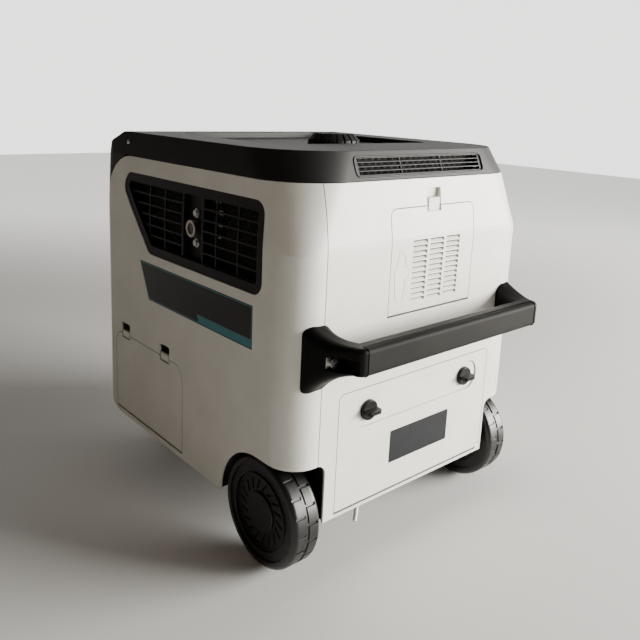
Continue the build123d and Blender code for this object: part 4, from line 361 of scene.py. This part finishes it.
# %% Side plate edges
BADGE_LOW, BADGE_HIGH = 298.0, 355.5
BADGE_REAR, BADGE_LOW_FRONT, BADGE_TOP_FRONT = 81.0, 349.0, 376.5
FOOT_HIGH, FOOT_FRONT = 312.0, 206.0
badge_film, badge_tree, badge_shader = new_finish("printed badge film", roughness=0.3, ior=1.5)
badge_place = add_node(badge_tree, "ShaderNodeTexCoord").outputs["Object"]
where = add_node(badge_tree, "ShaderNodeSeparateXYZ", {0: badge_place}).outputs
slant = (BADGE_TOP_FRONT - BADGE_LOW_FRONT) / (BADGE_HIGH - BADGE_LOW)
along = add_node(badge_tree, "ShaderNodeMath", {0: where["Z"], 1: -slant, 2: where["Y"]},
                 operation="MULTIPLY_ADD").outputs["Value"]
limits = (
    (where["Z"], BADGE_LOW, 1.0),
    (where["Z"], BADGE_HIGH, -1.0),
    (where["Y"], REAR + BADGE_REAR, 1.0),
    (along, REAR + BADGE_LOW_FRONT - slant * BADGE_LOW, -1.0),
    (where["Z"], FOOT_HIGH, -1.0),
    (along, REAR + FOOT_FRONT - slant * BADGE_LOW, -1.0),
)
depths = []
for socket, limit, sign in limits:
    inward = add_node(badge_tree, "ShaderNodeMath", {0: socket, 1: sign, 2: -sign * limit * MM},
                      operation="MULTIPLY_ADD")
    depths.append(inward.outputs["Value"])
*plate_depths, foot_top, foot_end = depths
print("plate edges:", len(plate_depths), "and 2 of its foot")

# %% [markdown]
# The smallest of the four distances is the distance to the rim, and the line runs where that lies
# between two limits. The foot is what lies inside its own two edges and inside the line.

# %% Side plate print
LINE_FROM, LINE_TO = 1.2, 2.6
PLATE_BLACK, PLATE_TEAL = "#1c1a19", "#3d8087"
rim = plate_depths[0]
for depth in plate_depths[1:]:
    rim = add_node(badge_tree, "ShaderNodeMath", {0: rim, 1: depth},
                   operation="MINIMUM").outputs["Value"]
inside = add_node(badge_tree, "ShaderNodeMath", {0: rim, 1: LINE_FROM * MM},
                  operation="GREATER_THAN").outputs["Value"]
outside = add_node(badge_tree, "ShaderNodeMath", {0: rim, 1: LINE_TO * MM},
                   operation="LESS_THAN").outputs["Value"]
line = add_node(badge_tree, "ShaderNodeMath", {0: inside, 1: outside},
                operation="MULTIPLY").outputs["Value"]
foot_depth = add_node(badge_tree, "ShaderNodeMath", {0: foot_top, 1: foot_end},
                      operation="MINIMUM").outputs["Value"]
foot_in = add_node(badge_tree, "ShaderNodeMath", {0: foot_depth, 1: rim},
                   operation="MINIMUM").outputs["Value"]
foot = add_node(badge_tree, "ShaderNodeMath", {0: foot_in, 1: LINE_FROM * MM},
                operation="GREATER_THAN").outputs["Value"]
teal = add_node(badge_tree, "ShaderNodeMath", {0: line, 1: foot},
                operation="MAXIMUM").outputs["Value"]
print_tone = add_node(badge_tree, "ShaderNodeMix", {
    "Factor": teal, "A": linear(PLATE_BLACK), "B": linear(PLATE_TEAL)}, data_type="RGBA")
badge_tree.links.new(print_tone.outputs["Result"], badge_shader.inputs["Base Color"])
dress(badge_film, "side_badges")
print("side plates with a line", LINE_TO - LINE_FROM, "mm wide")

# %% [markdown]
# The remaining small finishes: the milky PVC of the hose, the smoked window of the display, the red
# start button, the foam and the ink. Foam has open cells of about 1 mm, drawn here at 2 mm.

# %% Small finishes
clear_pvc, _, pvc_shader = new_finish("milky PVC tube", roughness=0.22, ior=1.53)
pvc_shader.inputs["Base Color"].default_value = linear("#e9ece8")
pvc_shader.inputs["Transmission Weight"].default_value = 0.3
hose_line.materials.append(clear_pvc)
smoked = moulded("smoked acrylic", ("#0d1012", "#121518"), roughness=0.08, grain=3.0, relief=0.001,
                 edge=0.4, rough_drift=0.02)
dress(smoked, "display_window")
start_red = moulded("glossy red ABS", ("#8e1512", "#991916"), roughness=0.25, grain=0.8,
                    relief=0.005, edge=0.8)
dress(start_red, "start_button")
foam = moulded("black polyurethane foam", ("#0c0c0c", "#161615"), roughness=0.9, grain=2.0,
               relief=0.6, edge=1.0, drift=8.0)
dress(foam, "air_filter_element")
ink = moulded("white printing ink", ("#d9dad6", "#e2e3df"), roughness=0.5, grain=0.6,
              relief=0.005, edge=0.1)
print("hose, display, button, foam and ink")

# %% [markdown]
# The thin details come next. Each is its own object that rides on a CAD body. Most are beads: round
# cords of plastic along a line. A mesh could be swept along the line, but a bevelled curve gives the
# same tube directly, and its points stay easy to read.


# %% Tools for beads
def keep(name, data, body, material):
    """Puts a mesh or curve in the scene, on a body, with a finish."""
    data.materials.append(material)
    piece = bpy.data.objects.new(name, data)
    bpy.context.scene.collection.objects.link(piece)
    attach(piece, body)
    return piece


def bead(name, lines, radius, body, material, closed=True):
    """Round beads along lines of points in metres. The radius is in millimetres."""
    curve = bpy.data.curves.new(name, "CURVE")
    curve.dimensions = "3D"
    curve.bevel_depth = radius * MM
    curve.bevel_resolution = 3
    for points in lines:
        run = curve.splines.new("POLY")
        run.points.add(len(points) - 1)
        for point, at in zip(run.points, points):
            point.co = (*at, 1.0)
        run.use_cyclic_u = closed
    keep(name, curve, body, material)


print("tools for beads")

# %% [markdown]
# A raised frame runs round the top vent. It follows the lean of the wall, so its points take their
# depth from the wall's line at their height, and the bead is sunk by half.

# %% Vent frame
VENT_XS, VENT_ZS, VENT_R = (104.0, 358.0), (518.5, 541.5), 6.0
BAND_Z, RIM_Z, BAND_IN, RIM_IN = 513.0, 549.0, 12.0, 27.0
FRAME_R, FRAME_OUT = 1.1, 0.6


def rounded(xs, zs, radius, steps=6):
    """The outline of a rectangle with round corners, as (x, z)."""
    centres = ((xs[1] - radius, zs[1] - radius), (xs[0] + radius, zs[1] - radius),
               (xs[0] + radius, zs[0] + radius), (xs[1] - radius, zs[0] + radius))
    outline = []
    for quarter, (x, z) in enumerate(centres):
        for step in range(steps + 1):
            angle = (quarter + step / steps) * math.pi / 2
            outline.append((x + radius * math.cos(angle), z + radius * math.sin(angle)))
    return outline


vent_line = rounded((VENT_XS[0] - FRAME_OUT, VENT_XS[1] + FRAME_OUT),
                    (VENT_ZS[0] - FRAME_OUT, VENT_ZS[1] + FRAME_OUT), VENT_R)
vent_lean = (RIM_IN - BAND_IN) / (RIM_Z - BAND_Z)
vent_points = [place(x, BAND_IN + vent_lean * (z - BAND_Z), z) for x, z in vent_line]
bead("vent_frame", [vent_points], FRAME_R, "housing", black_pp)
print("vent frame points:", len(vent_points))

# %% [markdown]
# The door carries a moulded outline of a spark plug, the usual generic sign for what is behind it. It
# stands out of the white plastic by half a millimetre, so it shows only by its light and shade.

# %% Plug outline on the door
PLUG_SHAPE = (
    (178.5, 421.0), (185.3, 413.8), (189.2, 399.2), (194.6, 396.4), (194.6, 385.2),
    (188.2, 382.0), (187.6, 371.2), (184.6, 353.6), (172.4, 353.6), (168.6, 371.2),
    (168.2, 382.0), (166.2, 385.6), (167.4, 397.2), (171.2, 400.0), (173.6, 414.6))
PLUG_LINES = (
    ((168.2, 382.0), (188.2, 382.0)),
    ((171.2, 400.0), (189.2, 399.2)),
    ((168.6, 371.2), (187.6, 371.2)))
PLUG_R, PLUG_SUNK = 0.8, 0.3
plug_line = [place(x, PLUG_SUNK, z) for x, z in PLUG_SHAPE]
bead("plug_outline", [plug_line], PLUG_R, "spark_plug_door", shell_abs)
bars = [[place(x, PLUG_SUNK, z) for x, z in run] for run in PLUG_LINES]
bead("plug_bars", bars, PLUG_R, "spark_plug_door", shell_abs, closed=False)
print("plug outline:", len(plug_line), "corners and", len(bars), "bars")

# %% [markdown]
# A groove shows where the rubber insert of the grip ends. It is drawn as a thin black bead in the
# joint: over the top of the bar, down both ends and back along the underside.

# %% Grip seam
GRIP_XS, GRIP_BACK, BAR_BACK, BAR_ZS = (57.5, 400.5), -57.5, -67.5, (297.0, 332.0)
EDGE_R, EDGE_STEPS, SEAM_R = 6.0, 6, 0.9


def bar_section(x):
    """The insert's end line: from its top edge round the bar's rear face to its lower edge."""
    section = [(GRIP_BACK, BAR_ZS[1])]
    for centre_z, start in ((BAR_ZS[1] - EDGE_R, 90.0), (BAR_ZS[0] + EDGE_R, 180.0)):
        for step in range(EDGE_STEPS + 1):
            angle = math.radians(start + 90.0 * step / EDGE_STEPS)
            section.append((BAR_BACK + EDGE_R + EDGE_R * math.cos(angle),
                            centre_z + EDGE_R * math.sin(angle)))
    section.append((GRIP_BACK, BAR_ZS[0]))
    return [place(x, y, z) for y, z in section]


seam = bar_section(GRIP_XS[0]) + list(reversed(bar_section(GRIP_XS[1])))
bead("grip_seam", [seam], SEAM_R, "housing", handle_nylon)
print("grip seam points:", len(seam))

# %% [markdown]
# The joints between covers get painted shade: a thin black strip lies in each of them, so the gaps stay
# dark. Two run up the rear corners, between the rear panel and the side covers. Above the crease the
# rear wall leans in and its corners widen, so each strip takes its depth from the lean and from the
# corner's arc.

# %% Painted shade strips in the rear corners
WIDTH = RIGHT - LEFT
CREASE = ((430.0, 0.0), (438.0, 0.5), (446.0, 1.7), (513.0, 12.0))  # height, and the lean there
CORNER_LOW, CORNER_RISE, FLANK_SHARE = 42.0, 52.0 / 119.0, 1.0 / 3.0
CORNER_ZS = (165.0, 430.0, 438.0, 446.0, 462.0, 480.0, 497.0, 512.0)
LEFT_WRAP, RIGHT_WRAP = 48.0, 33.0
STRIP_DEPTH = 0.6


def wall_lean(z):
    """How far the rear wall has leaned in at a height."""
    for low, high in zip(CREASE, CREASE[1:]):
        if low[0] <= z <= high[0]:
            return low[1] + (high[1] - low[1]) * (z - low[0]) / (high[0] - low[0])
    return 0.0


def corner_joint(wrap, left):
    """The joint between the rear panel and a side cover, from the wheel arch to the black top."""
    joint = []
    for z in CORNER_ZS:
        radius = CORNER_LOW + CORNER_RISE * max(0.0, z - CREASE[0][0])
        within = max(0.0, radius - wrap)
        turn = radius - math.sqrt(radius ** 2 - within ** 2)
        x = wrap + FLANK_SHARE * wall_lean(z)
        joint.append(place(x if left else WIDTH - x, wall_lean(z) + turn + STRIP_DEPTH, z))
    return joint


shade_strips = [corner_joint(LEFT_WRAP, True), corner_joint(RIGHT_WRAP, False)]
print("corner strips:", len(shade_strips))

# %% [markdown]
# The other strips go round the door, the hatch and the filter cover: up one side, over the top and
# down the other. They stay with the housing when a cover swings away, and they leave out the notches
# of the door and the hatch, where the snap tabs pass.

# %% Painted shade strips round the covers
GAP, STRIP_R, NOTCH_HALF = 0.95, 0.42, 14.5
DOOR_XS, DOOR_ZS, DOOR_R, DOOR_NOTCHES = (159.0, 329.0), (341.0, 475.5), 11.0, (244.0,)
HATCH_YS, HATCH_ZS, HATCH_R, HATCH_NOTCHES = (250.0, 464.0), (89.0, 218.0), 22.0, (302.0, 429.0)
FILTER_XS, FILTER_ZS, FILTER_R = (80.0, 392.0), (92.0, 244.5), 10.0


def arch(sides, heights, radius, steps=16):
    """A line in the middle of the gap round a cover, from its foot up one side, over the top and
    down the other, as (across, height)."""
    low, high = sides[0] - GAP / 2, sides[1] + GAP / 2
    foot_z, top = heights[0], heights[1] + GAP / 2
    bend = radius - GAP / 2
    run = [(low, foot_z)]
    for centre, start in ((low + bend, 180.0), (high - bend, 90.0)):
        for step in range(steps + 1):
            angle = math.radians(start - 90.0 * step / steps)
            run.append((centre + bend * math.cos(angle), top - bend + bend * math.sin(angle)))
    return run + [(high, foot_z)]


def split(run, notches):
    """The parts of such a line between the notches in its top edge."""
    top = max(height for _, height in run)
    ends = [edge for middle in notches for edge in (middle - NOTCH_HALF, middle + NOTCH_HALF)]
    first = [point for point in run if point[0] <= ends[0]] + [(ends[0], top)]
    last = [(ends[-1], top)] + [point for point in run if point[0] >= ends[-1]]
    inner = [[(a, top), (b, top)] for a, b in zip(ends[1:-1:2], ends[2::2])]
    return [first, *inner, last]


for run in split(arch(DOOR_XS, DOOR_ZS, DOOR_R), DOOR_NOTCHES):
    shade_strips.append([place(x, wall_lean(z) + STRIP_DEPTH, z) for x, z in run])
for run in split(arch(HATCH_YS, HATCH_ZS, HATCH_R), HATCH_NOTCHES):
    shade_strips.append([place(STRIP_DEPTH, y, z) for y, z in run])
shade_strips.append([place(x, STRIP_DEPTH, z) for x, z in arch(FILTER_XS, FILTER_ZS, FILTER_R)])
# The black strips are painted shade in the gaps round the covers.
bead("joint_shade_strips", shade_strips, STRIP_R, "housing", foam, closed=False)
print("joint strips:", len(shade_strips))

# %% [markdown]
# Closed sets are lined with bumpy black foam, which takes the engine's noise. Here the sheets are also
# painted shade: they keep the openings dark. Sheets stand behind both grilles and the top vent. Behind
# the exhaust grille there are two, one on each side of the outlet. A sheet is a grid pushed into soft
# bumps and thickened by a Solidify modifier.

# %% Foam linings, painted shade behind the openings
UP, TO_FRONT, TO_REAR, TO_RIGHT = (0, 0, 1), (0, 1, 0), (0, -1, 0), (1, 0, 0)
FOAM_GRID, FOAM_CELL, FOAM_SWELL = 2.0, 12.0, 1.5
GRILLE_FOAM_T, VENT_FOAM_T = 6.0, 4.0


def foam_sheet(name, corner, width_way, height_way, size, thick):
    """A sheet of bumpy foam from one corner along two directions, thickened away from its bumps."""
    wide, tall = Vector(width_way), Vector(height_way)
    out = wide.cross(tall)
    columns, rows = [int(length / FOAM_GRID) for length in size]
    points = []
    for j in range(rows + 1):
        for i in range(columns + 1):
            u, v = FOAM_GRID * i, FOAM_GRID * j
            wave = math.cos(math.tau * u / FOAM_CELL) * math.cos(math.tau * v / FOAM_CELL)
            points.append(corner + (wide * u + tall * v + out * FOAM_SWELL * wave) * MM)
    row = columns + 1
    faces = [(a, a + 1, a + row + 1, a + row)
             for j in range(rows) for a in range(j * row, j * row + columns)]
    data = bpy.data.meshes.new(name)
    data.from_pydata(points, [], faces)
    sheet = keep(name, data, "housing", foam)
    solid = sheet.modifiers.new("thickness", "SOLIDIFY")
    solid.thickness = thick * MM
    solid.offset = -1.0


# Each sheet is painted shade: dark foam behind an opening, where the inside lies in shade.
shade_linings = (
    ("foam_exhaust_front", place(24.0, 430.0, 362.0), TO_REAR, (182.0, 132.0), GRILLE_FOAM_T),
    ("foam_exhaust_rear", place(24.0, 217.0, 362.0), TO_REAR, (148.0, 132.0), GRILLE_FOAM_T),
    ("foam_intake", place(434.0, 66.0, 362.0), TO_FRONT, (364.0, 132.0), GRILLE_FOAM_T),
    ("foam_vent", place(100.0, 36.0, 514.0), TO_RIGHT, (262.0, 28.0), VENT_FOAM_T),
)
for name, corner, width_way, size, thick in shade_linings:
    foam_sheet(name, corner, width_way, UP, size, thick)
print("linings in the housing:", len(shade_linings))

# %% [markdown]
# Four bent steel tabs hold the heat shield behind the rear half of the exhaust grille. They catch a
# little light between the bars. Each is a strip with a folded end, thickened by a Solidify modifier.

# %% Shield tabs
TABS_AT = ((185.5, 467.8), (179.6, 453.0), (182.0, 436.7), (184.3, 420.3))
TAB_HALF, TAB_T = 6.0, 0.8
TAB_FOLD = ((26.0, 0.0), (19.0, 0.0), (17.5, 1.5), (17.5, 6.5))  # depth and rise, up to its edge
tab_points, tab_faces = [], []
for y, z in TABS_AT:
    first = len(tab_points)
    for depth, rise in TAB_FOLD:
        tab_points += [place(depth, y + side, z + rise) for side in (-TAB_HALF, TAB_HALF)]
    tab_faces += [(first + i, first + i + 1, first + i + 3, first + i + 2) for i in (0, 2, 4)]
tab_data = bpy.data.meshes.new("shield_tabs")
tab_data.from_pydata(tab_points, [], tab_faces)
tabs = keep("shield_tabs", tab_data, "housing", exhaust_steel)
sheet_metal = tabs.modifiers.new("sheet", "SOLIDIFY")
sheet_metal.thickness = TAB_T * MM
print("shield tabs:", len(TABS_AT))

# %% [markdown]
# A screen in the exhaust outlet catches sparks. It is woven from steel wire of 0.5 mm at 1.8 mm, drawn
# as two layers of straight wires that cross, because at this size the weave's waves don't show.

# %% Spark screen
OUTLET_AT, OUTLET_BORE = (232.0, 428.0), 8.0
SCREEN_X, WIRE_R, WIRE_PITCH, WIRES_EACH_SIDE = 6.0, 0.25, 1.8, 4
wires = []
for index in range(-WIRES_EACH_SIDE, WIRES_EACH_SIDE + 1):
    shift = index * WIRE_PITCH
    half = math.sqrt(OUTLET_BORE ** 2 - shift ** 2)
    standing = ((shift, -half), (shift, half))
    lying = ((half, shift), (-half, shift))
    for layer, ends in ((-WIRE_R, standing), (WIRE_R, lying)):
        wires.append([place(SCREEN_X + layer, OUTLET_AT[0] + a, OUTLET_AT[1] + b) for a, b in ends])
bead("spark_screen", wires, WIRE_R, "housing", exhaust_steel, closed=False)
print("screen wires:", len(wires))

# %% [markdown]
# Screw heads and ink dots are round. They could be cylinders with bevels, but a stack of rings, as from
# a lathe, gives any profile in one step. A ring may also have corners, for the recess of a screw.


# %% Tools for turned pieces
def turned(mesh, at, axis, profile, sides=24):
    """Rings of (radius, height, corners) about an axis; corners of 0 make a round ring."""
    turn = Vector(axis).to_track_quat("Z", "Y")
    rings = []
    for radius, rise, corners in profile:
        ring = []
        for step in range(sides):
            angle = math.tau * step / sides
            reach = radius
            if corners:
                half_side = math.pi / corners
                flat = radius * math.cos(half_side)
                reach = flat / math.cos(angle % (2 * half_side) - half_side)
            spot = Vector((reach * math.cos(angle), reach * math.sin(angle), rise)) * MM
            ring.append(mesh.verts.new(Vector(at) + turn @ spot))
        rings.append(ring)
    for low, high in zip(rings, rings[1:]):
        for i in range(sides):
            mesh.faces.new((low[i], low[i - 1], high[i - 1], high[i]))
    mesh.faces.new(rings[0])
    mesh.faces.new(list(reversed(rings[-1])))


def closed_mesh(name, mesh):
    """Turns a bmesh into mesh data with its faces outwards."""
    bmesh.ops.recalc_face_normals(mesh, faces=mesh.faces)
    data = bpy.data.meshes.new(name)
    mesh.to_mesh(data)
    mesh.free()
    return data


print("tools for turned pieces")

# %% [markdown]
# Zinc plated screws hold the top cover's shoulders and the control panel. Each is a button head with a
# six-sided recess: the inner rings of its profile have six corners.

# %% Screws
SCREW = ((4.0, 0.0, 0), (4.0, 0.9, 0), (3.3, 1.9, 0), (2.0, 2.3, 6), (1.9, 0.8, 6), (0.3, 0.7, 6))
SHOULDER_X, SHOULDER_Y, SHOULDER_Z = 6.9, 422.8, 533.7
LEAN = math.atan(5.0 / 36.0)  # the shoulders lean in by 5 mm over 36 mm
PANEL_SUNK, PANEL_SCREW_XS, PANEL_SCREW_ZS = 14.0, (50.0, 408.0), (324.0, 480.0)
PANEL_FACE = FRONT - REAR - PANEL_SUNK
screw_mesh = bmesh.new()
for x, side in ((SHOULDER_X, -1.0), (WIDTH - SHOULDER_X, 1.0)):
    turned(screw_mesh, place(x, SHOULDER_Y, SHOULDER_Z),
           (side * math.cos(LEAN), 0.0, math.sin(LEAN)), SCREW)
for x in PANEL_SCREW_XS:
    for z in PANEL_SCREW_ZS:
        turned(screw_mesh, place(x, PANEL_FACE, z), TO_FRONT, SCREW)
keep("cover_screws", closed_mesh("cover_screws", screw_mesh), "housing", zinc_steel)
print("screws: 2 on the shoulders, 4 on the panel")

# %% [markdown]
# The panel's marks are white ink: a line on the dial, a dot for each of its three places, a frame round
# the display and a dash beside the rocker. Ink is thin, so the lines are fine beads that are sunk by
# half, and the dots are discs of 0.2 mm.

# %% Panel marks
INK_R = 0.7
DIAL_X, DIAL_Z, DIAL_T = 205.0, 368.0, 11.0
POINTER_FROM, POINTER_TO, DOTS_OUT, DIAL_TURNS = 7.0, 17.0, 27.0, (0.0, 60.0, 120.0)
DOT = ((1.8, 0.0, 0), (1.8, 0.15, 0), (1.4, 0.2, 0))
DISPLAY_XS, DISPLAY_ZS, DISPLAY_R = (66.0, 170.0), (418.0, 478.0), 6.0
DASH_XS, DASH_Z = (201.0, 209.0), 468.0
pointer = [place(DIAL_X, PANEL_FACE + DIAL_T, DIAL_Z + out) for out in (POINTER_FROM, POINTER_TO)]
bead("dial_pointer", [pointer], INK_R, "engine_dial", ink, closed=False)
dot_mesh = bmesh.new()
for turn in DIAL_TURNS:
    x = DIAL_X - DOTS_OUT * math.sin(math.radians(turn))
    z = DIAL_Z + DOTS_OUT * math.cos(math.radians(turn))
    turned(dot_mesh, place(x, PANEL_FACE, z), TO_FRONT, DOT)
keep("dial_dots", closed_mesh("dial_dots", dot_mesh), "housing", ink)
window = [place(x, PANEL_FACE, z) for x, z in rounded(DISPLAY_XS, DISPLAY_ZS, DISPLAY_R)]
dash = [place(x, PANEL_FACE, DASH_Z) for x in DASH_XS]
bead("display_frame", [window], INK_R / 2, "housing", ink)
bead("rocker_dash", [dash], INK_R, "housing", ink, closed=False)
print("panel marks: pointer,", len(DIAL_TURNS), "dots, frame and dash")

# %% [markdown]
# The set is plain. A pale floor catches the shadow, and its far part, behind the generator, glows a
# little, as a lit backdrop does. The glow grows with the distance in that one direction, so it stays
# where it is when the camera moves.

# %% Floor
FLOOR_REACH = 6.0
FAR_WAY = (0.65, 0.76, 0.0)
GLOW_FROM, GLOW_TO, GLOW_MOST = 0.8, 2.6, 0.9
floor_mesh = bpy.data.meshes.new("studio_floor")
floor_corners = [(-FLOOR_REACH, -FLOOR_REACH, 0), (FLOOR_REACH, -FLOOR_REACH, 0),
                 (FLOOR_REACH, FLOOR_REACH, 0), (-FLOOR_REACH, FLOOR_REACH, 0)]
floor_mesh.from_pydata(floor_corners, [], [(0, 1, 2, 3)])
floor = bpy.data.objects.new("studio_floor", floor_mesh)
bpy.context.scene.collection.objects.link(floor)
floor_paint, floor_tree, floor_shader = new_finish("pale studio floor", roughness=0.9)
floor_shader.inputs["Base Color"].default_value = linear("#e4e4e2")
floor_place = add_node(floor_tree, "ShaderNodeTexCoord").outputs["Object"]
away = add_node(floor_tree, "ShaderNodeVectorMath", {0: floor_place, 1: FAR_WAY},
                operation="DOT_PRODUCT")
far_light = add_node(floor_tree, "ShaderNodeMapRange", {
    "Value": away.outputs["Value"], "From Min": GLOW_FROM, "From Max": GLOW_TO,
    "To Min": 0.0, "To Max": GLOW_MOST}, interpolation_type="SMOOTHSTEP")
floor_shader.inputs["Emission Color"].default_value = linear("#f4f4f2")
floor_tree.links.new(far_light.outputs["Result"], floor_shader.inputs["Emission Strength"])
floor_mesh.materials.append(floor_paint)
print("floor of", 2 * FLOOR_REACH, "m")

# %% [markdown]
# One large softbox stands to the right of the camera. A single direction of light keeps the left side
# in shade, as in the photograph, and a very weak fill keeps that shade from going flat.


# %% Lights
def soft_light(name, at, aim, size, power, colour):
    """A softbox at one point, turned towards another."""
    box = bpy.data.lights.new(name, "AREA")
    box.shape = "RECTANGLE"
    box.size, box.size_y = size
    box.energy = power
    box.color = linear(colour)[:3]
    lamp = bpy.data.objects.new(name, box)
    lamp.location = at
    lamp.rotation_euler = (Vector(aim) - Vector(at)).to_track_quat("-Z", "Y").to_euler()
    bpy.context.scene.collection.objects.link(lamp)


soft_light("key_softbox", at=(2.2, -2.1, 0.8), aim=(0.0, -0.2, 0.35), size=(2.0, 1.1), power=320.0,
           colour="#fffcf5")
soft_light("left_fill", at=(-2.4, -1.6, 0.9), aim=(0.0, 0.0, 0.3), size=(1.0, 1.0), power=2.0,
           colour="#ffdfbe")
print("a softbox and a weak fill")

# %% [markdown]
# The room is bright low down on the right, and dim and slightly warm on the left. The bright wall gives
# the black top its long soft sheen. It fades upwards, so that the top doesn't turn grey all over.

# %% Room
WALL_GLOW, WALL_TINT, WALL_FROM, WALL_TO = 2.4, "#fbfaf8", -0.1, 0.3
SHADE_GLOW, SHADE_TINT = 0.11, "#d9c4ae"
FADE_FROM, FADE_TO, FADED_SHARE = 0.12, 0.32, 0.1
studio = bpy.data.worlds.new("pale studio")
studio.use_nodes = True
bpy.context.scene.world = studio
room_tree = studio.node_tree
room_place = add_node(room_tree, "ShaderNodeTexCoord").outputs["Generated"]
toward = add_node(room_tree, "ShaderNodeSeparateXYZ", {0: room_place})
wall = add_node(room_tree, "ShaderNodeMapRange", {
    "Value": toward.outputs["X"], "From Min": WALL_FROM, "From Max": WALL_TO},
    interpolation_type="SMOOTHSTEP")
tint = add_node(room_tree, "ShaderNodeMix", {
    "Factor": wall.outputs["Result"], "A": linear(SHADE_TINT), "B": linear(WALL_TINT)},
    data_type="RGBA")
height = add_node(room_tree, "ShaderNodeMapRange", {
    "Value": toward.outputs["Z"], "From Min": FADE_FROM, "From Max": FADE_TO,
    "To Min": WALL_GLOW, "To Max": FADED_SHARE * WALL_GLOW}, interpolation_type="SMOOTHSTEP")
glow = add_node(room_tree, "ShaderNodeMath", {
    0: wall.outputs["Result"], 1: height.outputs["Result"], 2: SHADE_GLOW},
    operation="MULTIPLY_ADD")
sky = room_tree.nodes["Background"]
room_tree.links.new(tint.outputs["Result"], sky.inputs["Color"])
room_tree.links.new(glow.outputs["Value"], sky.inputs["Strength"])
print("a room that is bright on the right")

# %% [markdown]
# Last, a look for nodes that were forgotten.

# %% Close
undressed = [name for name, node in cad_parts.items()
             if name != "drain_hose" and not node.data.materials]
print("nodes without a finish:", undressed)
